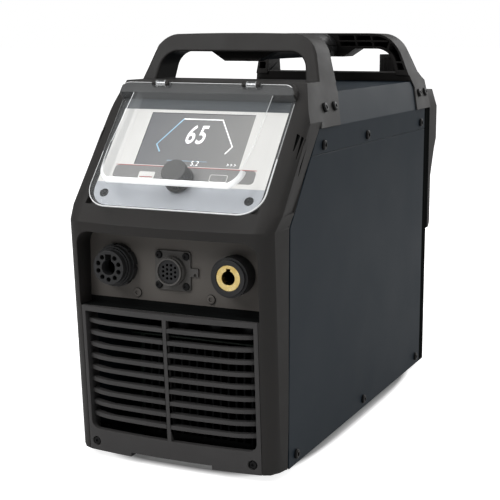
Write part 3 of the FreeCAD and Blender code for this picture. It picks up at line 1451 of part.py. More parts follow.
# Air: the pressure regulator under the hood's top with its knob above, and the inlet fitting.
reg_half = size("regulator_half_width", 18)
reg_low = size("regulator_bottom", 286)
bowl_radius = size("regulator_bowl_radius", 11)
bowl_low = size("regulator_bowl_bottom", 278)
reg_front = size("regulator_front_depth", 470)
reg_back = size("regulator_back_depth", 499)
reg_head = hood_top - plastic
reg_cut = rod("stem_bore", "z", knob_x, depth(knob_y), reg_head - 12, knob_stem + running, 30)
node(cut("reg_cut", fuse("reg_solid", block("reg_block", knob_x - reg_half, knob_x + reg_half,
                                            depth(reg_front),
                                            depth(reg_back), reg_low, reg_head),
                         rod("reg_bowl", "z", knob_x, depth(knob_y), bowl_low, bowl_radius,
                             reg_low - bowl_low)),
         reg_cut), "regulator_body")
reg_knob = size("regulator_knob_radius", 17.5)
reg_knob_top = size("regulator_knob_top", 382)
reg_grip = size("regulator_flute_radius", 1.6)
reg_flutes = 20
reg_knob_low = hood_top + 0.5
reg_stack = fuse("reg_stack", rod("reg_skirt", "z", knob_x, depth(knob_y), reg_knob_low, reg_knob - 2, 5),
                 rod("reg_knob", "z", knob_x, depth(knob_y), reg_knob_low + 4, reg_knob,
                     reg_knob_top - reg_knob_low - 4),
                 rod("reg_stem", "z", knob_x, depth(knob_y), reg_head - 10, knob_stem, 30))
flute_set = []
for number in range(reg_flutes):
    turn = math.radians(360 * number / reg_flutes)
    flute_set.append(rod("reg_flute", "z", knob_x + (reg_knob + reg_grip * 0.4) * math.cos(turn),
                         depth(knob_y + (reg_knob + reg_grip * 0.4) * math.sin(turn)), reg_knob_low + 7,
                         reg_grip, reg_knob_top - reg_knob_low - 12))
node(cut("reg_knob_cut", reg_stack, group("reg_flute_set", *flute_set)), "regulator_knob")

fitting_hex = size("inlet_hex_radius", 11)
fitting_radius = size("inlet_spigot_radius", 6.5)
fitting_bore = size("inlet_bore_radius", 4)
hood_face = depth(482)
hexagon = [(inlet_x + fitting_hex * math.cos(math.radians(60 * n)),
            inlet_z + fitting_hex * math.sin(math.radians(60 * n)))
           for n in range(6)]
fitting = fuse("fitting", prism_along_y("fitting_hex", hexagon, hood_face, hood_face + 7),
               rod("fitting_spigot", "y", inlet_x, hood_face, inlet_z, fitting_radius, 22),
               rod("fitting_lip", "y", inlet_x, hood_face + 17, inlet_z, fitting_radius + 1.2, 3),
               rod("fitting_neck", "y", inlet_x, hood_face - 12, inlet_z, inlet_hole, 12))
node(cut("fitting_cut", fitting, rod("fitting_bore", "y", inlet_x, hood_face - 13, inlet_z, fitting_bore,
                                     40)), "air_inlet")

# Mains: rotary switch behind the hood wall with its knob outside, and the cable gland.
switch_half = size("switch_half_width", 22)
switch_bore = rod("switch_bore", "y", mains_x, depth(470), mains_z, mains_stem + running, 30)
switch_plate = size("switch_plate_half_width", 24)
node(cut("switch_cut", block("switch_block", mains_x - switch_half, mains_x + switch_half, depth(450),
                             depth(479),
                             mains_z - 19, mains_z + switch_half), switch_bore), "mains_switch")
plate_round = size("switch_plate_corner", 4)
switch_plate_body = new_body("switch_plate_body")
pad(switch_plate_body, rounded_rectangle(new_sketch(switch_plate_body, "front", hood_face + 3),
                                         mains_x - switch_plate,
                                         mains_x + switch_plate, mains_z - switch_plate,
                                         mains_z + switch_plate,
                                         plate_round), 3)
node(cut("switch_plate_cut", switch_plate_body, rod("switch_plate_hole", "y", mains_x, hood_face - 1, mains_z,
                                                   mains_stem + gap, 10)), "mains_switch_plate")
dial = size("switch_dial_radius", 19)
bar_half = size("switch_bar_half_width", 6)
bar_round = size("switch_bar_corner", 5)
dial_from = hood_face + 3.4
bar_body = new_body("bar_body")
pad(bar_body, rounded_rectangle(new_sketch(bar_body, "front", dial_from + 17), mains_x - bar_half,
                                mains_x + bar_half,
                                mains_z - dial + 1, mains_z + dial - 1, bar_round), 14)
node(fuse("dial_fused", rod("dial", "y", mains_x, dial_from, mains_z, dial, 4), bar_body,
          rod("dial_stem", "y", mains_x, depth(471), mains_z, mains_stem, 20)), "mains_switch_knob")
gland_hex = size("gland_hex_radius", 15)
gland_dome = size("gland_dome_radius", 11.5)
gland_bore = size("gland_bore_radius", 6.5)
gland_points = [(gland_x + gland_hex * math.cos(math.radians(60 * n)),
                 mains_z + gland_hex * math.sin(math.radians(60 * n)))
                for n in range(6)]
gland = fuse("gland", prism_along_y("gland_hex", gland_points, hood_face, hood_face + 6),
             rod("gland_dome", "y", gland_x, hood_face, mains_z, gland_dome, 20),
             rod("gland_neck", "y", gland_x, hood_face - 15, mains_z, gland_hole, 15))
node(cut("gland_cut", gland, rod("gland_bore", "y", gland_x, hood_face - 16, mains_z, gland_bore, far)),
     "cable_gland")

# Fan on the rear wall: frame with four struts, rotor and wire guard.
fan_half = size("fan_half_width", 60)
fan_deep = size("fan_depth", 38)
fan_bore = size("fan_bore_radius", 57.5)
fan_hub = size("fan_hub_radius", 20)
fan_back = wall_rear - wall_sheet
fan_front = fan_back - fan_deep
strut = size("fan_strut_width", 5)
frame_body = new_body("frame_body")
pad(frame_body, rounded_rectangle(new_sketch(frame_body, "front", depth(fan_back)), -fan_half, fan_half,
                                  fan_height - fan_half, fan_height + fan_half, 5), fan_deep)
struts = [block("strut_level", -fan_bore, fan_bore, depth(fan_back - strut), depth(fan_back),
                fan_height - strut / 2,
                fan_height + strut / 2),
          block("strut_upright", -strut / 2, strut / 2, depth(fan_back - strut), depth(fan_back),
                fan_height - fan_bore,
                fan_height + fan_bore)]
fan_hollow = cut("fan_hollow", frame_body, rod("fan_tunnel", "y", 0, depth(fan_front - 1), fan_height,
                                               fan_bore,
                                              fan_deep + 2), group("frame_holes", *[
    rod("frame_hole", "y", guard_screw * a, depth(fan_front - 1), fan_height + guard_screw * b,
        fan_screw_hole, fan_deep + 2)
    for a in (-1, 1) for b in (-1, 1)]))
axle = size("fan_axle_radius", 2.5)
node(fuse("fan_frame_fused", fan_hollow, *struts,
          rod("fan_motor_seat", "y", 0, depth(fan_back - strut), fan_height, fan_hub, strut),
          rod("fan_axle", "y", 0, depth(fan_front + 6), fan_height, axle, fan_deep - 6)), "fan_frame")
blades = 7
blade_reach = size("fan_blade_reach", 55.5)
blade_sheet = size("fan_blade_thickness", 1.6)
blade_chord = size("fan_blade_chord", 27)
blade_tilt = 38
rotor_front = fan_front + 3
rotor_deep = fan_deep - strut - 5
blade_items = []
for number in range(blades):
    blade = block("blade", blade_sheet / -2, blade_sheet / 2, blade_chord / -2, blade_chord / 2, fan_hub - 1,
                  blade_reach)
    holder = group("blade_holder", blade)
    spin = FreeCAD.Rotation(FreeCAD.Vector(0, 1, 0), 360 * number / blades)
    holder.Placement.Rotation = spin.multiply(FreeCAD.Rotation(FreeCAD.Vector(0, 0, 1), blade_tilt))
    place(holder, 0, depth(rotor_front + rotor_deep / 2), fan_height)
    blade_items.append(holder)
rotor = fuse("rotor", rod("rotor_hub", "y", 0, depth(rotor_front), fan_height, fan_hub, rotor_deep),
             *blade_items)
node(cut("rotor_cut", rotor, rod("rotor_bore", "y", 0, depth(rotor_front + 2), fan_height, axle + running,
                                 far)), "fan_rotor")
guard_wire = size("guard_wire_radius", 1.2)
guard_rings = [size("guard_ring_1", 16), size("guard_ring_2", 28), size("guard_ring_3", 40),
               size("guard_ring_4", 52)]
guard_y = wall_rear + guard_wire
wires = []
for number, radius in enumerate(guard_rings):
    ring = doc.addObject("Part::Torus", "guard_ring")
    ring.setExpression("Radius1", radius.text)
    ring.setExpression("Radius2", guard_wire.text)
    ring.Placement.Rotation = FreeCAD.Rotation(*TURNS["y"])
    place(ring, 0, depth(guard_y), fan_height)
    wires.append(ring)
guard_leg = size("guard_leg_length", 74)
for number in range(4):
    leg = rod("guard_leg", "x", -guard_leg, 0, 0, guard_wire, guard_leg * 2) if number < 2 else None
    if leg is None:
        continue
    holder = group("leg_holder", leg)
    holder.Placement.Rotation = FreeCAD.Rotation(FreeCAD.Vector(0, 1, 0), 45 + 90 * number)
    place(holder, 0, depth(guard_y), fan_height)
    wires.append(holder)
node(fuse("guard_fused", *wires), "fan_guard")

# Feet
foot_radius = size("foot_radius", 15)
foot_taper = size("foot_taper", 2)
foot_x = size("foot_from_middle", 80)
foot_front = size("foot_front_depth", 60)
foot_back = size("foot_back_depth", 420)
foot_well = size("foot_well_radius", 5.5)
foot_turn = new_body("foot_turn")
profile = new_sketch(foot_turn, "front")
outline(profile, [(0, 3.5), (foot_well, 3.5), (foot_well, 0), (foot_radius - foot_taper, 0), (foot_radius,
        case_bottom),
                  (0, case_bottom)])
turned = foot_turn.newObject("PartDesign::Revolution", "foot_turned")
turned.Profile = profile
turned.ReferenceAxis = (profile, ["V_Axis"])
turned.Angle = 360
feet = []
for side in (-1, 1):
    for y in (foot_front, foot_back):
        copy = group("foot_laid", foot_turn)
        place(copy, foot_x * side, depth(y), 0)
        feet.append(copy)
node(group("foot_set", *feet), "feet")

# Power stage on the tray.
sink_half = size("heat_sink_half_width", 60)
sink_from = size("heat_sink_from", 60)
sink_to = size("heat_sink_to", 220)
sink_base = size("heat_sink_base", 8)
sink_top = size("heat_sink_top", 108)
fin = size("fin_thickness", 2)
fins = 15
fin_pitch = (sink_half * 2 - fin) / (fins - 1)
sink = [block("sink_base", -sink_half, sink_half, depth(sink_from), depth(sink_to), tray_top,
              tray_top + sink_base)]
sink += [block("sink_fin", fin_pitch * n - sink_half, fin_pitch * n - sink_half + fin, depth(sink_from),
               depth(sink_to),
               tray_top + sink_base, sink_top) for n in range(fins)]
node(fuse("sink_fused", *sink), "heat_sink")
board_half = size("power_board_half_width", 74)
board_z = size("power_board_height", 114)
board_from = size("power_board_from", 62)
board_to = size("power_board_to", 300)
board_sheet = size("board_thickness", 1.6)
post = size("board_post_radius", 3.5)
posts = [rod("board_post", "z", (board_half - 7) * side, depth(y), tray_top, post, board_z - tray_top)
         for side in (-1, 1) for y in (75, 290)]
node(fuse("board_fused", block("board", -board_half, board_half, depth(board_from), depth(board_to), board_z,
                               board_z + board_sheet), *posts), "power_board")
can_radius = size("capacitor_radius", 15)
can_height = size("capacitor_height", 46)
node(group("can_set", *[rod("can", "z", x, depth(y), board_z + board_sheet, can_radius, can_height)
                        for x in (-38, 0, 38) for y in (110, 150)]), "capacitors")
core_from = size("transformer_from", 325)
core_to = size("transformer_to", 395)
core_half = size("transformer_half_width", 46)
core_top = size("transformer_top", 92)
core = cut("core", block("core_block", -core_half, core_half, depth(core_from + 14), depth(core_to - 14),
                         tray_top, core_top),
           block("core_room_left", -core_half + 12, -12, depth(core_from), depth(core_to), tray_top + 12,
                 core_top - 12),
           block("core_room_right", 12, core_half - 12, depth(core_from), depth(core_to), tray_top + 12,
                 core_top - 12))
node(core, "transformer_core")
node(cut("winding", block("winding_block", -core_half + 13, core_half - 13, depth(core_from), depth(core_to),
                          tray_top + 13,
                          core_top - 13),
         block("winding_room", -12, 12, depth(core_from + 14), depth(core_to - 14), tray_top, core_top)),
     "transformer_winding")
choke_radius = size("choke_radius", 28)
choke_bore = size("choke_bore_radius", 12)
choke_high = size("choke_height", 30)
node(cut("choke", rod("choke_out", "z", 0, depth(262), tray_top, choke_radius, choke_high),
         rod("choke_in", "z", 0, depth(262), tray_top - 1, choke_bore, choke_high + 2)), "output_choke")
node(cut("valve_cut", fuse("valve", block("valve_block", 40, 74, depth(reg_front - 34), depth(reg_front),
                                          seam_height - 5,
                                         seam_height + 25),
                           rod("valve_coil", "z", 57, depth(reg_front - 17), seam_height - 35, 12, 31)),
         rod("valve_port", "y", 57, depth(reg_front - 35), seam_height + 10, 3, 30)), "solenoid_valve")

# Control board behind the display, on four posts of the sloped frame.
control_half = size("control_board_half_width", 86)
control_low = size("control_board_bottom", 34)
control_high = size("control_board_top", 134)
control_at = size("control_board_level", -26)
control_post = size("control_post_from_middle", 81)
node(on_slope(fuse("control_fused", block("control_sheet", -control_half, control_half, control_low,
                                          control_high,
                                          control_at, control_at + board_sheet),
                   *[rod("control_post", "z", control_post * side, y, control_at, post,
                         -slope_wall - control_at)
                     for side in (-1, 1) for y in (control_low + 10, control_high - 10)])), "control_board")

# The housing's cuts come last, when the screws that pass through it are known.
panel_screw_holes = on_slope(group("panel_screw_holes", *[
    rod("panel_screw_hole", "z", panel_screw_x * side, panel_screw_at, -far / 2, m4_shank,
        far / 2) for side in (-1, 1)]))
housing_cut = cut("housing_cut", housing_whole, panel_screw_holes, recess_hollow, bay_front, bay_rear,
                  lean_side("lean_right", 1),
                  lean_side("lean_left", -1), front_cavity, cover_seat, panel_seat, panel_window,
                  hinge_rods("ear_bores", pin_radius, as_size(0)), *vent_cutters(),
                  *foot_holes("front_foot_hole", front_screw_near, front_screw_away, m5_shank))
node(housing_cut, "front_housing")


# Every object must have worked, and every piece must be a valid solid, before the pieces are written.
doc.recompute()
for item in doc.Objects:
    for word in ("Invalid", "Error"):
        if word in item.State:
            raise ValueError(f"{item.Name} is in state {word}")
os.makedirs("parts", exist_ok=True)
for piece in nodes:
    shape = piece.Shape
    if shape.isNull() or not shape.isValid() or not shape.Solids:
        raise ValueError(f"{piece.Label} is not a valid solid")
    shape.exportStep(f"parts/{piece.Label}.step")
    print(piece.Label, len(shape.Solids), round(shape.Volume), shape.BoundBox)
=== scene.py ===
import json
import math
import bpy
import bmesh
from mathutils import Matrix, Vector


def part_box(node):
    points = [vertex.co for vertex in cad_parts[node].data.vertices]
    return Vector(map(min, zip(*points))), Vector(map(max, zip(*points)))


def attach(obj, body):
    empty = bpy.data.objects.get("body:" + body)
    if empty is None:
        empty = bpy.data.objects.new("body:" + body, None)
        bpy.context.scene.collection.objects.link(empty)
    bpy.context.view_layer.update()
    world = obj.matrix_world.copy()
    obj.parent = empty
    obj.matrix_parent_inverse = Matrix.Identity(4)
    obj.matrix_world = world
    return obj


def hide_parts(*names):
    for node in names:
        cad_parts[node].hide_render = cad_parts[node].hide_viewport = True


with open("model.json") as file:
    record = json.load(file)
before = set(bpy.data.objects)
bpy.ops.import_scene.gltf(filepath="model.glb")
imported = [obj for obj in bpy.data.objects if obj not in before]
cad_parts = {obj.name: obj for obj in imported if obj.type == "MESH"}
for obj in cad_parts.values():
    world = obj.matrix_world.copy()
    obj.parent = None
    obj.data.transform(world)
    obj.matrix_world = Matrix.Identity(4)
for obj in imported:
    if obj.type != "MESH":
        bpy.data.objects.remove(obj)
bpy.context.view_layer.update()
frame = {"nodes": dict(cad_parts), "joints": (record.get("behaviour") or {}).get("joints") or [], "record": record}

# Base tray and feet: the tray is folded from 1.2 mm steel and powder coated in dark slate.
# All that is inside stands on it, and four rubber feet hold it off the floor.
MM = 0.001


def linear(hex_colour):
    """An sRGB hex value as the linear colour that a shader takes."""
    parts = [int(hex_colour[i:i + 2], 16) / 255 for i in (0, 2, 4)]
    return [p / 12.92 if p <= 0.04045 else ((p + 0.055) / 1.055) ** 2.4 for p in parts] + [1.0]


def add_node(owner, kind, *inputs, **settings):
    """Add one node to a material or the world. Its inputs are filled in order or by name,
    each with a value or another node's output. Any other name is a property of the node."""
    node = owner.node_tree.nodes.new(kind)
    filled = []
    for key, value in settings.items():
        socket = node.inputs.get(key.replace("_", " "))
        if socket is None:
            setattr(node, key, value)
        else:
            filled.append((socket, value))
    for socket, value in filled + list(zip(node.inputs, inputs)):
        if isinstance(value, bpy.types.NodeSocket):
            owner.node_tree.links.new(value, socket)
        else:
            socket.default_value = value
    return node


def drive(material, socket_name, output):
    """Let another node's output drive a socket of the material's main shader."""
    shader = material.node_tree.nodes["Principled BSDF"]
    material.node_tree.links.new(output, shader.inputs[socket_name])


def surface(name, colour, other, patch_mm, roughness, grain_mm, depth_mm, **settings):
    """A material of two near tones in soft patches, with gloss that follows them and a fine grain.
    The scale of each pattern comes from its size in millimetres. Most real grain is finer than
    0.2 mm, and it is drawn about 1 mm wide, so that it shows."""
    material = bpy.data.materials.new(name)
    material.use_nodes = True
    shader = material.node_tree.nodes["Principled BSDF"]
    for key, value in settings.items():
        shader.inputs[key.replace("_", " ")].default_value = value
    place = add_node(material, "ShaderNodeTexCoord")
    patches = add_node(material, "ShaderNodeTexNoise", Vector=place.outputs["Object"],
                       Scale=1 / (patch_mm * MM), Detail=4.0)
    spread = add_node(material, "ShaderNodeMapRange", Value=patches.outputs["Fac"],
                      From_Min=0.3, From_Max=0.7)
    tone = add_node(material, "ShaderNodeMixRGB", Fac=spread.outputs["Result"],
                    Color1=linear(colour), Color2=linear(other))
    gloss = add_node(material, "ShaderNodeMapRange", Value=spread.outputs["Result"],
                     To_Min=roughness[0], To_Max=roughness[1])
    grain = add_node(material, "ShaderNodeTexNoise", Vector=place.outputs["Object"],
                     Scale=1 / (grain_mm * MM), Detail=3.0)
    relief = add_node(material, "ShaderNodeBump", Height=grain.outputs["Fac"],
                      Strength=1.0, Distance=depth_mm * MM)
    drive(material, "Base Color", tone.outputs["Color"])
    drive(material, "Roughness", gloss.outputs["Result"])
    drive(material, "Normal", relief.outputs["Normal"])
    return material


def powder_coat():
    """Polyester powder, sprayed and baked: satin, with a faint orange peel 2.5 mm wide."""
    return surface("powder_coat", "1e262d", "212930", patch_mm=60, roughness=(0.46, 0.52),
                   grain_mm=2.5, depth_mm=0.015, IOR=1.5, Specular_IOR_Level=0.08)


def moulded_rubber():
    """Vulcanised rubber: black, dry and matte. Its grain is drawn 0.9 mm wide, so that it shows."""
    return surface("moulded_rubber", "121212", "171717", patch_mm=6, roughness=(0.6, 0.75),
                   grain_mm=0.9, depth_mm=0.03, IOR=1.5, Specular_IOR_Level=0.3)


def select_only(piece):
    """Select one piece and make it the active one, as the operators need."""
    bpy.ops.object.select_all(action="DESELECT")
    piece.select_set(True)
    bpy.context.view_layer.objects.active = piece


def merged_copy(node_name):
    """A copy of a CAD node with its triangles joined into whole faces."""
    piece = bpy.data.objects.new(node_name + "_finished", frame["nodes"][node_name].data.copy())
    bpy.context.scene.collection.objects.link(piece)
    select_only(piece)
    bpy.ops.object.mode_set(mode="EDIT")
    bpy.ops.mesh.select_all(action="SELECT")
    bpy.ops.mesh.remove_doubles(threshold=0.002 * MM)
    bpy.ops.mesh.dissolve_limited(angle_limit=math.radians(0.6))
    bpy.ops.object.mode_set(mode="OBJECT")
    return piece


def paint(piece, *finishes):
    """Give the piece these finishes and no others. All its faces show the first."""
    piece.data.materials.clear()
    for finish in finishes:
        piece.data.materials.append(finish)


def apply_bevel(piece, radius_mm, segments, limit, finish_slot=-1):
    """Bevel the piece's edges. The new strips can get a finish of their own."""
    select_only(piece)
    bevel = piece.modifiers.new("edge", "BEVEL")
    bevel.width = radius_mm * MM
    bevel.segments = segments
    bevel.limit_method = limit
    bevel.angle_limit = math.radians(30)
    bevel.use_clamp_overlap = False
    bevel.material = finish_slot
    bpy.ops.object.modifier_apply(modifier="edge")


def round_edges(piece, radius_mm, chosen, segments=4, finish_slot=-1, angle=40):
    """Round only the sharp edges whose middle passes the test."""
    mesh = bmesh.new()
    mesh.from_mesh(piece.data)
    weight = mesh.edges.layers.float.new("bevel_weight_edge")
    for edge in mesh.edges:
        middle = (edge.verts[0].co + edge.verts[1].co) / 2
        if edge.calc_face_angle(0) > math.radians(angle) and chosen(middle):
            edge[weight] = 1.0
    mesh.to_mesh(piece.data)
    mesh.free()
    apply_bevel(piece, radius_mm, segments, "WEIGHT", finish_slot)
    marks = piece.data.attributes.get("bevel_weight_edge")
    if marks:
        piece.data.attributes.remove(marks)


def smooth(piece):
    """Shade curved faces smooth and keep large faces with many corners flat."""
    many_corners = 8
    large_area = 100 * MM * MM
    select_only(piece)
    bpy.ops.object.shade_smooth_by_angle(angle=math.radians(30))
    for face in piece.data.polygons:
        if len(face.vertices) > many_corners and face.area > large_area:
            face.use_smooth = False
    flat = piece.modifiers.new("flat", "WEIGHTED_NORMAL")
    flat.keep_sharp = True
    bpy.ops.object.modifier_apply(modifier="flat")


def stand_for(piece, node_name):
    """The finished piece moves with the node's body and stands for the node."""
    record = frame["record"]
    bodies = record["behaviour"]["bodies"]
    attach(piece, next(body for body, names in bodies.items() if node_name in names))
    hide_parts(node_name)


def under_screw(spot):
    """The rims of the screw holes in the leaning shoulders of the case. The screw heads cover them,
    and rounding them would leave a line across the shoulder."""
    return abs(spot.x) > 100 * MM and 331 * MM < spot.z < 347 * MM


def dress(node_name, finish, radius_mm, angle=30, rounder=None):
    """A merged copy of a CAD node with broken edges, standing for the node.
    The rounder is a larger radius in millimetres and a test for the edges that get it."""
    piece = merged_copy(node_name)
    paint(piece, finish)
    if rounder:
        round_edges(piece, *rounder)
    round_edges(piece, radius_mm, lambda spot: not under_screw(spot), segments=2, angle=angle)
    smooth(piece)
    stand_for(piece, node_name)
    return piece


coat = powder_coat()
fold_angle = 11
dress("base_tray", coat, 0.5, angle=fold_angle)
dress("feet", moulded_rubber(), 0.6)

# Inside: an extruded heat sink, glass-fibre boards, sleeved capacitors, wound cores, an air valve.
# The power stage stands on the tray, where a little of it shows through the grille.
# The control board stands on four posts behind the display.


def extruded_aluminium():
    """Extruded and black-anodised aluminium: dark satin, with drawing lines along its length.
    The lines are far finer. They are drawn 0.8 mm wide and 40 mm long, so that they show."""
    line_width, line_length = 0.8 * MM, 40 * MM
    material = surface("extruded_aluminium", "0d0f10", "0b0c0d", patch_mm=18,
                       roughness=(0.45, 0.55), grain_mm=1.0, depth_mm=0.01,
                       Metallic=0.6, Specular_IOR_Level=0.2)
    place = add_node(material, "ShaderNodeTexCoord")
    drawn = add_node(material, "ShaderNodeMapping", Vector=place.outputs["Object"],
                     Scale=(1, line_width / line_length, 1))
    lines = add_node(material, "ShaderNodeTexNoise", Vector=drawn.outputs["Vector"],
                     Scale=1 / line_width, Detail=2.0)
    relief = add_node(material, "ShaderNodeBump", Height=lines.outputs["Fac"],
                      Strength=1.0, Distance=0.02 * MM)
    drive(material, "Normal", relief.outputs["Normal"])
    return material


def solder_mask():
    """Solder mask printed on glass-fibre board: dull green, with paler copper tracks under it.
    The tracks lie in rows 3 mm apart, and a row is a quarter of the texture's own measure."""
    row_height = 3 * MM
    green, other_green = "0a1a12", "0c1d14"
    material = surface("solder_mask", green, other_green, patch_mm=8, roughness=(0.4, 0.5),
                       grain_mm=1.0, depth_mm=0.01, IOR=1.5, Specular_IOR_Level=0.2)
    place = add_node(material, "ShaderNodeTexCoord")
    tracks = add_node(material, "ShaderNodeTexBrick", Vector=place.outputs["Object"],
                      Scale=0.25 / row_height, Mortar_Size=0.05, Color1=linear(green),
                      Color2=linear(other_green), Mortar=linear("101f16"))
    drive(material, "Base Color", tracks.outputs["Color"])
    return material


def shrink_sleeve():
    """PVC sleeve shrunk over an aluminium can: dark blue-grey and fairly glossy."""
    return surface("shrink_sleeve", "14151b", "191a21", patch_mm=10, roughness=(0.28, 0.36),
                   grain_mm=1.2, depth_mm=0.01, IOR=1.5)


def sintered_ferrite():
    """Pressed and sintered ferrite: dark grey and dry, with a grit drawn 0.8 mm wide to show."""
    return surface("sintered_ferrite", "2a2a2c", "343436", patch_mm=2, roughness=(0.55, 0.7),
                   grain_mm=0.8, depth_mm=0.03, IOR=1.6)


def wave_scale(pitch_mm):
    """Scale of a wave texture with this pitch. At scale 1 its phase is 20 radians a metre."""
    return 2 * math.pi / 20 / (pitch_mm * MM)


def enamelled_copper():
    """Enamelled copper wire, wound side by side: red-brown, and each turn is a ridge of 3.2 mm."""
    material = surface("enamelled_copper", "8a4520", "9c4f23", patch_mm=5, roughness=(0.25, 0.35),
                       grain_mm=1.0, depth_mm=0.01, Metallic=0.8)
    place = add_node(material, "ShaderNodeTexCoord")
    wires = add_node(material, "ShaderNodeTexWave", Vector=place.outputs["Object"],
                     bands_direction="Z", Scale=wave_scale(3.158))
    relief = add_node(material, "ShaderNodeBump", Height=wires.outputs["Fac"],
                      Strength=1.0, Distance=0.3 * MM)
    drive(material, "Normal", relief.outputs["Normal"])
    return material


def turned_brass():
    """Brass turned on a lathe: pale yellow, with rings that widen its highlight, centred on the
    earth socket. Real turning marks are far finer. They are drawn 1 mm apart, so that they show."""
    to_earth_axis = (-61.9 * MM, 0, -191.8 * MM)
    material = surface("turned_brass", "e4cf96", "d6b86e", patch_mm=6, roughness=(0.24, 0.34),
                       grain_mm=0.8, depth_mm=0.01, Metallic=1.0)
    place = add_node(material, "ShaderNodeTexCoord")
    centred = add_node(material, "ShaderNodeMapping", Vector=place.outputs["Object"],
                       Location=to_earth_axis)
    turning = add_node(material, "ShaderNodeTexWave", Vector=centred.outputs["Vector"],
                       wave_type="RINGS", rings_direction="Y", Scale=wave_scale(0.987),
                       Distortion=0.4)
    marks = add_node(material, "ShaderNodeBump", Height=turning.outputs["Fac"],
                     Strength=1.0, Distance=0.012 * MM)
    drive(material, "Normal", marks.outputs["Normal"])
    return material


def finish_node(node_name, finish):
    """Finish a CAD node that is hardly seen, and keep its shape as it is."""
    paint(frame["nodes"][node_name], finish)
    smooth(frame["nodes"][node_name])


aluminium = extruded_aluminium()
board = solder_mask()
copper = enamelled_copper()
brass = turned_brass()
for node_name, finish in (
        ("heat_sink", aluminium), ("power_board", board), ("control_board", board),
        ("capacitors", shrink_sleeve()), ("transformer_core", sintered_ferrite()),
        ("transformer_winding", copper), ("output_choke", copper), ("solenoid_valve", brass)):
    finish_node(node_name, finish)

# Rear wall and fan: the wall is a nylon moulding with a rim, and the skin ends against it.
# An axial fan is screwed to it, with a guard of zinc-plated steel wire on the outside.


def moulded_nylon(name, colour, other):
    """Glass-filled nylon, moulded with an eroded grain: dark grey with a soft, broad sheen.
    The real grain is 0.1 mm wide. It is drawn 0.9 mm wide, so that it shows."""
    return surface(name, colour, other, patch_mm=30, roughness=(0.5, 0.6),
                   grain_mm=0.9, depth_mm=0.03, IOR=1.53, Specular_IOR_Level=0.2)


def painted_shade_black():
    """Deep matte black without grain that mirrors nothing: painted shade on hollows, sides and strips that lie in
    shade.
    """
    return surface("painted_shade_black", "121313", "151616", patch_mm=20, roughness=(0.65, 0.75),
                   grain_mm=1.0, depth_mm=0.02, IOR=1.5, Specular_IOR_Level=0.0)


def black_thermoplastic():
    """Polyamide moulded in a polished tool: a black a little glossier than the housing's grey."""
    return surface("black_thermoplastic", "222223", "272728", patch_mm=20, roughness=(0.4, 0.5),
                   grain_mm=1.2, depth_mm=0.012, IOR=1.5, Specular_IOR_Level=0.25)


def zinc_plated_steel():
    """Steel wire and pins with bright zinc plating: pale grey metal with a sharp highlight."""
    return surface("zinc_plated_steel", "b9babb", "a9abad", patch_mm=4, roughness=(0.24, 0.36),
                   grain_mm=0.8, depth_mm=0.006, Metallic=1.0)


def refinish(piece, finish, chosen):
    """Give the faces that pass the test another finish."""
    piece.data.materials.append(finish)
    slot = len(piece.data.materials) - 1
    for face in piece.data.polygons:
        if chosen(face):
            face.material_index = slot


# The rim shows behind the skin. The wall's nylon is painted darker than the housing's as shade, and the rim's
# sides are painted black as shade.
shade_black = painted_shade_black()
black = black_thermoplastic()
zinc = zinc_plated_steel()
wall = dress("rear_panel", moulded_nylon("rear_wall_shaded_nylon", "101011", "141415"), 0.5)
refinish(wall, shade_black, lambda face: abs(face.normal.x) > 0.7)
paint(frame["nodes"]["fan_frame"], black)
dress("fan_rotor", black, 0.3)
finish_node("fan_guard", zinc)

# Rear hood: a deep nylon moulding on the rear wall, out of the photograph's view.
# It carries the air inlet, the pressure regulator, the mains switch and the cable gland.
# Its foot on the wall is painted black as shade.


def signal_red_abs():
    """Glossy moulded ABS in the red of a mains switch: it stands out from the black hood."""
    return surface("signal_red_abs", "b0211c", "a81e1a", patch_mm=12, roughness=(0.28, 0.36),
                   grain_mm=1.0, depth_mm=0.008, IOR=1.54)


def split(piece, point, normal):
    """Divide the faces that cross a plane, so that an edge runs along it."""
    select_only(piece)
    bpy.ops.object.mode_set(mode="EDIT")
    bpy.ops.mesh.select_all(action="SELECT")
    bpy.ops.mesh.bisect(plane_co=point, plane_no=normal)
    bpy.ops.object.mode_set(mode="OBJECT")


def refinish_behind(piece, finish, point, normal):
    """Give the side of a plane that its normal looks away from another finish."""
    split(piece, point, normal)
    refinish(piece, finish,
             lambda face: (face.center - Vector(point)).dot(Vector(normal)) < 0)


nylon = moulded_nylon("moulded_nylon", "222120", "262423")
hood = merged_copy("rear_hood")
hood_foot = 226.5 * MM
paint(hood, nylon)
refinish_behind(hood, shade_black, (0, hood_foot, 0), (0, 1, 0))
apply_bevel(hood, 0.8, 2, "ANGLE")
smooth(hood)
stand_for(hood, "rear_hood")
finish_node("regulator_body", aluminium)
dress("regulator_knob", nylon, 0.5)
dress("air_inlet", brass, 0.3)
paint(frame["nodes"]["mains_switch"], black)
dress("mains_switch_plate", black, 0.4)
dress("mains_switch_knob", signal_red_abs(), 0.8)
dress("cable_gland", black, 0.4)

# Front housing and grille: injection-moulded in glass-filled nylon that is dark all through.
# The moulds are eroded, so the skin has a fine even grain, and a small radius breaks every edge.
# The grille is a separate insert that closes the air inlet under the connector recess.
shoulder_height = 365 * MM
knee_height = 242 * MM
recess_floor = 154 * MM
vents_low, vents_high = 276 * MM, 318 * MM


def soft_shell_edge(spot):
    """The arch above the shoulder and the upright corners of the lower front are rounded more."""
    arch = spot.z > shoulder_height and spot.y < -100 * MM
    corner = abs(spot.x) > 100 * MM and spot.y < -200 * MM and spot.z < knee_height
    return arch or corner


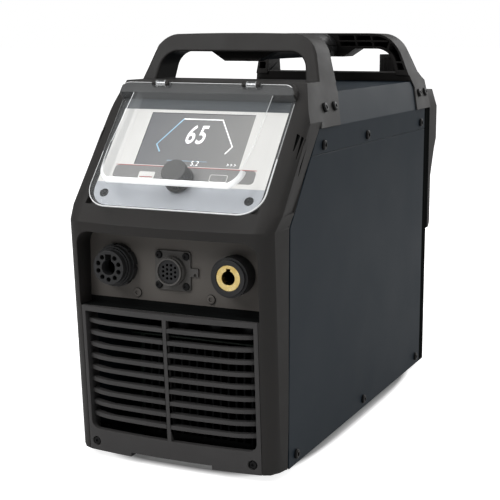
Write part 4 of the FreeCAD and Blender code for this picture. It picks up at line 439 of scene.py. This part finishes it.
def in_shade(face):
    """Walls of the wing vents, which are cut square to the turned corner, and the recess floor: painted black as
    shade.
    """
    spot, normal = face.center, face.normal
    corner_turn = math.radians(62)
    side = math.copysign(1, spot.x)
    outward = normal.x * side * math.sin(corner_turn) - normal.y * math.cos(corner_turn)
    on_wing = abs(spot.x) > 94 * MM and -193 * MM < spot.y < -168 * MM
    by_vent = on_wing and vents_low < spot.z < vents_high and abs(outward) < 0.3
    on_floor = abs(spot.z - recess_floor) < 1 * MM and spot.y < -210 * MM and normal.z > 0.9
    return by_vent or on_floor


shell = dress("front_housing", nylon, 0.6, rounder=(2.4, soft_shell_edge))
# The vent walls and the recess floor are painted black as shade.
refinish(shell, shade_black, in_shade)
# The grille's nylon is a lighter copy of the housing's: painted light on the slats.
dress("front_grille", moulded_nylon("grille_nylon_painted_lighter", "3a3939", "3f3e3e"), 0.4)

# Connector recess: a flat textured plate closes its back and carries three sockets.
# Their shells are moulded in black thermoplastic, and the earth contact is turned from brass.


def textured_sheet_painted_lit():
    """Black sheet with a rolled-in texture, drawn 0.8 mm wide. It is painted grey, greyer than the sockets, as
    light falling on the black sheet."""
    return surface("textured_sheet_painted_lit", "57534f", "5c5854", patch_mm=25, roughness=(0.5, 0.6),
                   grain_mm=0.8, depth_mm=0.02, IOR=1.5, Specular_IOR_Level=0.3)


def glass_filled_polyester():
    """Glass-filled polyester, moulded: dull, and as grey as the plate that it is screwed to."""
    return surface("glass_filled_polyester", "4a4846", "4f4d4b", patch_mm=20, roughness=(0.5, 0.6),
                   grain_mm=0.9, depth_mm=0.015, IOR=1.55, Specular_IOR_Level=0.3)


def shade_bore_depth(material, face, bright_mm, dark_mm):
    """Darken brass with its depth behind its face: painted shade deep in the bore."""
    shader = material.node_tree.nodes["Principled BSDF"]
    bright = shader.inputs["Base Color"].links[0].from_socket
    place = add_node(material, "ShaderNodeTexCoord")
    axes = add_node(material, "ShaderNodeSeparateXYZ", Vector=place.outputs["Object"])
    inward = add_node(material, "ShaderNodeMapRange", Value=axes.outputs["Y"],
                      From_Min=face + bright_mm * MM, From_Max=face + dark_mm * MM)
    tone = add_node(material, "ShaderNodeMixRGB", Fac=inward.outputs["Result"],
                    Color1=bright, Color2=linear("17110a"))
    drive(material, "Base Color", tone.outputs["Color"])
    return material


# The foot of the plate is painted black, as shade from the recess.
sheet = textured_sheet_painted_lit()
plate = merged_copy("connector_plate")
shaded_foot = 159.5 * MM
paint(plate, sheet)
refinish_behind(plate, shade_black, (0, 0, shaded_foot), (0, 0, 1))
smooth(plate)
stand_for(plate, "connector_plate")
dress("torch_socket", black, 0.25)
dress("torch_ring_nut", black, 0.3)
dress("cnc_socket", glass_filled_polyester(), 0.25)
dress("cnc_insert", black, 0.15)
dress("ground_socket", black, 0.4)
contact_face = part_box("ground_contact")[0][1]
dress("ground_contact", shade_bore_depth(turned_brass(), contact_face, 2, 14), 0.35)

# Display panel: a moulded plate, screwed on the sloped frame of the housing by its lower corners.
# A printed polyester overlay is glued on it, round the window of the display.
# What lies on it is drawn flat, x across, y up the slope and z outwards, and laid on the slope.
knob_joint = next(joint for joint in frame["joints"] if joint["name"] == "encoder_turn")
slope_out = Vector(knob_joint["axis"]).normalized()
slope_up = slope_out.cross(Vector((1, 0, 0))).normalized()
knob_along = 52.8
slope_foot = Vector(knob_joint["pos_m"]) - slope_up * (knob_along * MM)
slope_place = Matrix((
    (1, slope_up.x, slope_out.x, slope_foot.x),
    (0, slope_up.y, slope_out.y, slope_foot.y),
    (0, slope_up.z, slope_out.z, slope_foot.z),
    (0, 0, 0, 1)))
panel_level = -3.4 * MM


def overlay_foil(name, colour, other):
    """Screen-printed polyester foil: even colour and a low gloss, with the dot of the print.
    The dot is a tenth as wide. It is drawn at 1 mm, so that it shows."""
    return surface(name, colour, other, patch_mm=1.2, roughness=(0.32, 0.4),
                   grain_mm=1.0, depth_mm=0.004, IOR=1.5, Specular_IOR_Level=0.4)


def lay(piece, finish):
    """Lay a flat piece on the slope, with its place in its mesh, and fix it to the case."""
    piece.data.transform(piece.matrix_world)
    piece.matrix_world = Matrix.Identity(4)
    piece.data.transform(slope_place)
    paint(piece, finish)
    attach(piece, "case")


def cut_away(piece, tool):
    """Cut the tool's shape out of the piece, and remove the tool."""
    select_only(piece)
    opening = piece.modifiers.new("opening", "BOOLEAN")
    opening.object = tool
    opening.operation = "DIFFERENCE"
    bpy.ops.object.modifier_apply(modifier="opening")
    bpy.data.objects.remove(tool)


def middle_of(across, up):
    """The middle of an area on the panel."""
    return (across[0] + across[1]) / 2 * MM, (up[0] + up[1]) / 2 * MM, panel_level


def printed_area(name, across, up, rise, finish, radius=0, low_only=False, wells=(), window=None):
    """Thin printed area between two places across and two up the slope, all in millimetres.
    All or only its low corners are rounded, and round wells and a window are cut out of it."""
    punch_depth = 6 * MM
    bpy.ops.object.select_all(action="DESELECT")
    bpy.ops.mesh.primitive_plane_add(size=1, location=middle_of(across, up))
    piece = bpy.context.active_object
    piece.name = name
    piece.scale = ((across[1] - across[0]) * MM, (up[1] - up[0]) * MM, 1)
    bpy.context.view_layer.update()
    piece.data.transform(piece.matrix_world)
    piece.matrix_world = Matrix.Identity(4)
    half_way = middle_of(across, up)[1]
    bpy.ops.object.mode_set(mode="EDIT")
    mesh = bmesh.from_edit_mesh(piece.data)
    for vertex in mesh.verts:
        vertex.select_set(not low_only or vertex.co.y < half_way)
    if radius:
        bpy.ops.mesh.bevel(offset=radius * MM, segments=10, affect="VERTICES")
    bpy.ops.mesh.select_all(action="SELECT")
    bpy.ops.mesh.extrude_region_move(TRANSFORM_OT_translate={"value": (0, 0, rise * MM)})
    bpy.ops.mesh.select_all(action="SELECT")
    bpy.ops.mesh.normals_make_consistent(inside=False)
    bpy.ops.object.mode_set(mode="OBJECT")
    for x, v, well_radius in wells:
        bpy.ops.object.select_all(action="DESELECT")
        bpy.ops.mesh.primitive_cylinder_add(vertices=48, radius=well_radius * MM, depth=punch_depth,
                                            location=(x * MM, v * MM, panel_level))
        cut_away(piece, bpy.context.active_object)
    if window:
        left, right, low, high = window
        bpy.ops.object.select_all(action="DESELECT")
        bpy.ops.mesh.primitive_cube_add(size=1, location=middle_of((left, right), (low, high)))
        punch = bpy.context.active_object
        punch.scale = ((right - left) * MM, (high - low) * MM, punch_depth)
        cut_away(piece, punch)
    lay(piece, finish)


white_foil = overlay_foil("white_overlay_foil", "e4e3e0", "e0dfdc")
slate_foil = overlay_foil("slate_overlay_foil", "30363b", "343a3f")
grey_foil = overlay_foil("grey_overlay_foil", "807f7e", "858483")
blue_foil = overlay_foil("blue_grey_overlay_foil", "abafb5", "b0b4ba")
red_foil = overlay_foil("red_overlay_foil", "a8322c", "a02e29")
dress("display_panel", black, 0.2)
overlay_width = (-87, 87)
band_width = (-73.5, 73.5)
low_corner = 19
screw_wells = [(-75, 35.3, 4.6), (75, 35.3, 4.6)]
printed_area("overlay_field", overlay_width, (22, 133.3), 0.06, white_foil, low_corner,
             low_only=True, wells=screw_wells, window=(-55, 55, 69, 129.8))
printed_area("overlay_top_strip", overlay_width, (133.3, 145), 0.1, slate_foil)
printed_area("overlay_low_strip", overlay_width, (22, 47.8), 0.12, blue_foil, low_corner,
             low_only=True, wells=screw_wells)
printed_area("overlay_control_strip", band_width, (52.8, 67.6), 0.12, grey_foil, radius=4,
             wells=[(0, knob_along, 7)])
printed_area("overlay_red_line", band_width, (67.6, 68.3), 0.12, red_foil)
printed_area("overlay_key_field", (-45.6, -28.8), (53.8, 61.3), 0.2, white_foil, radius=1)
printed_area("overlay_key_line", (-44, -30.4), (55, 55.8), 0.28, red_foil)
printed_area("overlay_key_outline", (28.6, 46.6), (53.6, 61.6), 0.2, white_foil, radius=1.5)
printed_area("overlay_key_inside", (29.2, 46), (54.2, 61), 0.28, grey_foil, radius=1.2)

# Display module: a backlit liquid crystal display behind the window of the panel.
# Its gauge, numbers and marks are lit segments, here raised a little from its glass.
screen_level = -3.8 * MM


def lit_display():
    """Backlit liquid crystal display under glass: grey, and a little brighter towards its right."""
    half_window = 55 * MM
    material = surface("lit_display", "808488", "8a8b8c", patch_mm=40, roughness=(0.2, 0.26),
                       grain_mm=1.0, depth_mm=0.002, IOR=1.5)
    place = add_node(material, "ShaderNodeTexCoord")
    axes = add_node(material, "ShaderNodeSeparateXYZ", Vector=place.outputs["Object"])
    along = add_node(material, "ShaderNodeMapRange", Value=axes.outputs["X"],
                     From_Min=-half_window, From_Max=half_window)
    glow = add_node(material, "ShaderNodeMixRGB", Fac=along.outputs["Result"],
                    Color1=linear("6a6b6e"), Color2=linear("8f8e8c"))
    drive(material, "Base Color", glow.outputs["Color"])
    return material


def lit_segment(name, colour, other, strength):
    """Segments lit from behind: bright in the shade too, and a little uneven along their length."""
    return surface(name, colour, other, patch_mm=6, roughness=(0.35, 0.45),
                   grain_mm=1.0, depth_mm=0.002, IOR=1.5,
                   Emission_Color=linear(colour), Emission_Strength=strength)


def segment_line(name, points, width, finish):
    """Line on the display through points given across and up the slope, in millimetres."""
    module_lift = 2.8
    flattened = 0.25
    curve = bpy.data.curves.new(name, "CURVE")
    curve.dimensions = "3D"
    spline = curve.splines.new("POLY")
    spline.points.add(len(points) - 1)
    for spot, (x, v) in zip(spline.points, points):
        spot.co = (x * MM, (v + module_lift) * MM, screen_level, 1)
    curve.bevel_depth = width / 2 * MM
    curve.bevel_resolution = 2
    curve.use_fill_caps = True
    line = bpy.data.objects.new(name, curve)
    bpy.context.scene.collection.objects.link(line)
    select_only(line)
    bpy.ops.object.convert(target="MESH")
    piece = bpy.context.active_object
    for vertex in piece.data.vertices:
        vertex.co.z = screen_level + (vertex.co.z - screen_level) * flattened
    lay(piece, finish)


def display_number(name, words, x, v, height, slant, width, weight, finish):
    """A number on the display, drawn from text. Its middle lies x across, its foot v up the slope.
    The width is a share of the drawn letters' own, and the weight thickens their strokes."""
    above, below = 0.1 * MM, 0.05 * MM
    bpy.ops.object.select_all(action="DESELECT")
    bpy.ops.object.text_add(location=(0, 0, 0))
    piece = bpy.context.active_object
    piece.data.body = words
    piece.data.align_x = "CENTER"
    piece.data.shear = slant
    piece.data.extrude = 0.02 * MM
    piece.data.offset = weight
    piece.data.space_character = 1.12
    bpy.ops.object.convert(target="MESH")
    piece = bpy.context.active_object
    piece.name = name
    low = min(vertex.co.y for vertex in piece.data.vertices)
    high = max(vertex.co.y for vertex in piece.data.vertices)
    scale = height * MM / (high - low)
    for vertex in piece.data.vertices:
        vertex.co.x = vertex.co.x * scale * width + x * MM
        vertex.co.y = (vertex.co.y - low) * scale + v * MM
        vertex.co.z = screen_level + above if vertex.co.z > 0 else screen_level - below
    lay(piece, finish)


white_light = lit_segment("white_segment", "ffffff", "f4f6f8", 0.5)
blue_light = lit_segment("blue_segment", "8fb8d2", "a6cadf", 0.3)
dress("display_screen", lit_display(), 0.1)
segment_line("gauge_left", [(-32.8, 82), (-38.6, 90.4), (-18.7, 120.5)], 1.5, blue_light)
segment_line("gauge_right", [(-18.7, 120.5), (22.4, 120.5), (40.9, 90.6), (35.6, 82.2)],
             1.4, white_light)
display_number("display_main_number", "65", x=-0.4, v=95, height=21.5, slant=0.16, width=0.68,
               weight=0.012, finish=white_light)
display_number("display_low_number", "5.2", x=8, v=70.6, height=5.2, slant=0.12, width=0.85,
               weight=0.0, finish=white_light)
first_mark, mark_step = 41.5, 3.6
for number in range(3):
    foot = first_mark + number * mark_step
    segment_line(f"display_mark_{number + 1}", [(foot, 69.4), (foot + 1.8, 70.5), (foot, 71.6)],
                 0.7, white_light)
segment_line("display_low_line", [(-22, 72.6), (20, 72.6)], 0.35, blue_light)

# Rotary control: a fluted knob moulded in one with its skirt, pushed on the shaft of an encoder.
# The encoder sits behind the panel, and its plunger can be pressed.


def grey_abs():
    """Moulded ABS: mid grey, with a satin skin that shows the flutes."""
    return surface("grey_abs", "403f3e", "464544", patch_mm=8, roughness=(0.4, 0.5),
                   grain_mm=1.0, depth_mm=0.01, IOR=1.54, Specular_IOR_Level=0.4)


dress("encoder_knob", grey_abs(), 0.3)
finish_node("encoder_shaft", zinc)
finish_node("encoder_plunger", black)
finish_node("encoder_body", black)

# Clear cover: thermoformed polycarbonate, 3 mm thick, hinged on two steel pins at the top rail.
# Its faces are nearly invisible, and its rounded edges carry painted white highlights.
# Places on it are in millimetres on the slope, and its outlines have round low corners.
bubble_outline = {"half": 74, "low": 31, "radius": 22}
flange_outline = {"half": 91.5, "low": 18.5, "radius": 24}
hinge_across = 48
rim_dims, rim_ends = 80, 141


def clear_polycarbonate():
    """Clear polycarbonate, thermoformed: light goes straight through. A thin white veil, more opaque at a glancing
    view, is a painted reflection, and fine wiping marks break it up a little."""
    material = surface("clear_polycarbonate", "f4f8fa", "eef3f6", patch_mm=30,
                       roughness=(0.03, 0.09), grain_mm=1.5, depth_mm=0.003, IOR=1.58)
    facing = add_node(material, "ShaderNodeLayerWeight", Blend=0.25)
    veil = add_node(material, "ShaderNodeMapRange", Value=facing.outputs["Facing"],
                    To_Min=0.03, To_Max=0.09)
    drive(material, "Alpha", veil.outputs["Result"])
    return material


def painted_edge_highlight(name, share, glow):
    """Rounded edge of clear polycarbonate: a painted highlight, nearly white and glowing a little, for the light
    that the sheet's edges catch."""
    return surface(name, "ffffff", "f2f6f8", patch_mm=9, roughness=(0.1, 0.2), grain_mm=1.0,
                   depth_mm=0.01, IOR=1.58, Alpha=share, Emission_Color=linear("ffffff"),
                   Emission_Strength=glow)


def fade_highlight_upward(material, low, high, least):
    """Let the painted highlight fade with height, as the bend turns away from the eye."""
    most = material.node_tree.nodes["Principled BSDF"].inputs["Alpha"].default_value
    place = add_node(material, "ShaderNodeTexCoord")
    axes = add_node(material, "ShaderNodeSeparateXYZ", Vector=place.outputs["Object"])
    share = add_node(material, "ShaderNodeMapRange", Value=axes.outputs["Z"],
                     From_Min=low, From_Max=high, To_Min=most, To_Max=least)
    drive(material, "Alpha", share.outputs["Result"])
    return material


def from_outline(place, half, low, radius):
    """Distance from an outline, given by its half width, low end and corner radius."""
    across = abs(place.x) - (half - radius)
    down = low + radius - place.y
    return math.hypot(max(across, 0), max(down, 0)) - radius if down > 0 else abs(place.x) - half


def on_slope(spot):
    """Place across, up and out of the slope, in millimetres, of a point in the room."""
    return slope_place.inverted() @ spot / MM


def on_flange_rim(place):
    """The outer edges of the flange, on its face."""
    return -1 < place.z < 0.5 and abs(from_outline(place, **flange_outline)) < 1


def on_bubble_side(place):
    """The bend between the bubble's face and its walls, below its top end."""
    above_flange, bubble_top = 9, 146
    return (place.z > above_flange and place.y < bubble_top
            and abs(from_outline(place, **bubble_outline)) < 3)


def bubble_low_edge(spot):
    """The bend between the bubble's face and its low wall."""
    place = on_slope(spot)
    bubble_face, low_end = 19, 54
    return (place.z > bubble_face and place.y < low_end
            and abs(from_outline(place, **bubble_outline)) < 5)


def strong_highlight_edge(spot):
    """The low rim of the flange, the bubble's left edge and the top edge between the hinges, which get the strong
    painted highlight.
    """
    place = on_slope(spot)
    top_edge, raised, hinge_half = 152, 10, 11
    rim = place.y < rim_dims and on_flange_rim(place)
    side = place.x < 0 and on_bubble_side(place)
    beside_hinge = abs(abs(place.x) - hinge_across) > hinge_half
    top = place.y > top_edge and place.z > raised and beside_hinge
    return rim or side or top


def faint_highlight_edge(spot):
    """The rest of the rim, the bubble's right edge and the hinge barrels, which get the faint painted highlight.
    """
    place = on_slope(spot)
    barrel_foot, barrel_half = 148, 6
    rim = rim_dims < place.y < rim_ends and on_flange_rim(place)
    side = place.x > 0 and on_bubble_side(place)
    barrel = place.y > barrel_foot and abs(abs(place.x) - hinge_across) < barrel_half
    return rim or side or barrel


# An edge has to end where the rim gets another finish.
clear_lid = merged_copy("clear_cover")
for along in (rim_ends, rim_dims):
    split(clear_lid, slope_place @ Vector((0, along * MM, 0)), slope_up)
bend_low = (slope_place @ Vector((0, 37 * MM, 22 * MM))).z
bend_height = 16 * MM
bend = fade_highlight_upward(painted_edge_highlight("polycarbonate_bend_highlight", 0.86, 0.3),
                   bend_low, bend_low + bend_height, least=0.25)
paint(clear_lid, clear_polycarbonate(), bend, painted_edge_highlight("polycarbonate_edge_highlight", 0.75, 0.3),
      painted_edge_highlight("polycarbonate_side_highlight", 0.4, 0.05))
round_edges(clear_lid, 4, bubble_low_edge, segments=4, finish_slot=1)
round_edges(clear_lid, 1.0, strong_highlight_edge, segments=2, finish_slot=2)
round_edges(clear_lid, 0.6, faint_highlight_edge, segments=2, finish_slot=3)
smooth(clear_lid)
stand_for(clear_lid, "clear_cover")
finish_node("cover_pins", zinc)

# Top cover and side panels: 1.2 mm steel, folded, powder coated like the tray and screwed on.
# The last 9 mm are painted black where they meet the rear wall, for the wall's black rim and its shade.
painted_strip_start = 204.5 * MM
for sheet_name in ("top_cover", "left_side_panel", "right_side_panel"):
    skin = merged_copy(sheet_name)
    paint(skin, coat)
    refinish_behind(skin, shade_black, (0, painted_strip_start, 0), (0, -1, 0))
    round_edges(skin, 0.5, lambda spot: not under_screw(spot), segments=2, angle=fold_angle)
    smooth(skin)
    stand_for(skin, sheet_name)

# Handles: the front arch is part of the housing, and the rear one is a ribbed nylon moulding.
# A round grip of two half shells with a soft skin runs between them, parted at its middle height.


def soft_grip():
    """Thermoplastic elastomer moulded over the grip: black and matte, with a grain like skin."""
    return surface("soft_grip", "1d1d1e", "222222", patch_mm=15, roughness=(0.45, 0.6),
                   grain_mm=1.0, depth_mm=0.03, IOR=1.5, Specular_IOR_Level=0.35)


dress("rear_handle", nylon, 0.5)
dress("carry_grip", soft_grip(), 0.4)

# Screws: blackened steel button heads with a hexagonal socket, driven home on sheet and mouldings.
# The two pan heads of the connector plate are finished like the plate, with their sides painted black as the shade
# around them.


def blackened_steel():
    """Black oxide on steel: nearly black, with a soft metal sheen."""
    return surface("blackened_steel", "070708", "0b0b0c", patch_mm=5, roughness=(0.34, 0.46),
                   grain_mm=0.7, depth_mm=0.008, Metallic=0.1, Specular_IOR_Level=0.2)


blackened = blackened_steel()
for set_name in ("side_screws", "front_handle_screws", "rear_handle_screws", "grille_screws",
                 "flange_screws", "panel_screws"):
    dress(set_name, blackened, 0.15)
pan_heads = dress("plate_screws", sheet, 0.15)
refinish(pan_heads, shade_black, lambda face: abs(face.normal.y) < 0.6)

# Studio: a plain pale floor that runs white into the background, as in the photograph.
# It keeps a soft shadow under the unit, deepened by painted shade on the unit's footprint. Four soft lamps and a
# weak white room give the light.
unit_middle = Vector((0, 0, 0.2))


def seen_directly(owner, mirrored_share):
    """1 where the camera sees it straight or through glass, a share where a gloss mirrors it."""
    path = add_node(owner, "ShaderNodeLightPath")
    through = add_node(owner, "ShaderNodeMath", path.outputs["Is Camera Ray"],
                       path.outputs["Is Transmission Ray"], operation="MAXIMUM")
    mirrored = add_node(owner, "ShaderNodeMath", path.outputs["Is Glossy Ray"], mirrored_share,
                        operation="MULTIPLY")
    either = add_node(owner, "ShaderNodeMath", through.outputs["Value"], mirrored.outputs["Value"],
                      operation="MAXIMUM")
    return either.outputs["Value"]


def studio_paper():
    """White coated paper: seen directly it is plain white, and it keeps the shadow. Its white lift is held back on
    the unit's footprint, a rectangle with well rounded corners, which paints shade under the unit."""
    half_footprint = (0.11, 0.228)
    edge_starts, edge_ends, shadow_white = 0.9, 1.15, 0.12
    near, far, near_white = 0.3, 2.2, 0.84
    material = surface("studio_paper", "e0e0e0", "e2e2e2", patch_mm=400, roughness=(0.85, 0.95),
                       grain_mm=1.0, depth_mm=0.005, Specular_IOR_Level=0.0,
                       Emission_Color=linear("ffffff"))
    place = add_node(material, "ShaderNodeTexCoord").outputs["Object"]
    away = add_node(material, "ShaderNodeVectorMath", place, operation="LENGTH")
    sweep = add_node(material, "ShaderNodeMapRange", Value=away.outputs["Value"],
                     From_Min=near, From_Max=far, To_Min=near_white, To_Max=1.0)
    # Painted shade: the white lift falls to a small share on the unit's footprint.
    share = add_node(material, "ShaderNodeVectorMath", place,
                     (1 / half_footprint[0], 1 / half_footprint[1], 0), operation="MULTIPLY")
    squares = add_node(material, "ShaderNodeVectorMath", share.outputs["Vector"],
                       share.outputs["Vector"], operation="MULTIPLY")
    under = add_node(material, "ShaderNodeVectorMath", squares.outputs["Vector"],
                     squares.outputs["Vector"], operation="DOT_PRODUCT")
    outside = add_node(material, "ShaderNodeMapRange", Value=under.outputs["Value"],
                       From_Min=edge_starts, From_Max=edge_ends, To_Min=shadow_white)
    open_floor = add_node(material, "ShaderNodeMath", sweep.outputs["Result"],
                          outside.outputs["Result"], operation="MULTIPLY")
    lift = add_node(material, "ShaderNodeMath", seen_directly(material, 0.15),
                    open_floor.outputs["Value"], operation="MULTIPLY")
    drive(material, "Emission Strength", lift.outputs["Value"])
    return material


def soft_lamp(name, place, size, power):
    """A rectangular area lamp that looks at the middle of the unit."""
    data = bpy.data.lights.new(name, "AREA")
    data.shape = "RECTANGLE"
    data.size, data.size_y = size
    data.energy = power
    lamp = bpy.data.objects.new(name, data)
    bpy.context.scene.collection.objects.link(lamp)
    lamp.location = place
    lamp.rotation_euler = (unit_middle - lamp.location).to_track_quat("-Z", "Y").to_euler()


world = bpy.data.worlds.new("studio")
bpy.context.scene.world = world
world.use_nodes = True
world.node_tree.nodes.clear()
soft_room = add_node(world, "ShaderNodeBackground", Color=linear("ffffff"), Strength=0.22)
white_room = add_node(world, "ShaderNodeBackground", Color=linear("ffffff"), Strength=1.0)
room = add_node(world, "ShaderNodeMixShader", seen_directly(world, 0.16),
                soft_room.outputs["Background"], white_room.outputs["Background"])
add_node(world, "ShaderNodeOutputWorld", Surface=room.outputs["Shader"])
bpy.ops.object.select_all(action="DESELECT")
bpy.ops.mesh.primitive_circle_add(vertices=96, radius=30, fill_type="NGON", location=(0, 0, 0))
floor = bpy.context.active_object
floor.name = "studio_floor"
paint(floor, studio_paper())
soft_lamp("key_lamp", place=(-0.7, -1.3, 1.35), size=(1.1, 1.1), power=21)
soft_lamp("top_lamp", place=(0.3, 0.1, 2.2), size=(1.8, 1.8), power=19)
soft_lamp("side_lamp", place=(1.6, -1.3, 1.5), size=(1.2, 1.4), power=8)
soft_lamp("rim_lamp", place=(0.9, 1.9, 1.1), size=(1.6, 1.0), power=16)

# Camera: at the photograph's place and angle, solved from the box of the case in it.
# The focal length and the optical centre are in pixels of the photograph, which is 500 wide.
image_px = 500
focal_px = 1211.4
optical_x, optical_y = 254.33, 246.19
camera_data = bpy.data.cameras.new("photo_camera")
camera_data.sensor_width = 36
camera_data.lens = focal_px * camera_data.sensor_width / image_px
camera_data.shift_x = (image_px / 2 - optical_x) / image_px
camera_data.shift_y = (optical_y - image_px / 2) / image_px
camera = bpy.data.objects.new("photo_camera", camera_data)
bpy.context.scene.collection.objects.link(camera)
camera.location = (0.5203, -1.2028, 0.4089)
camera_aim = Vector((-0.00183, -0.0463, 0.1845))
camera.rotation_euler = (camera_aim - camera.location).to_track_quat("-Z", "Y").to_euler()
bpy.context.scene.camera = camera
bpy.context.scene.view_settings.view_transform = "Standard"
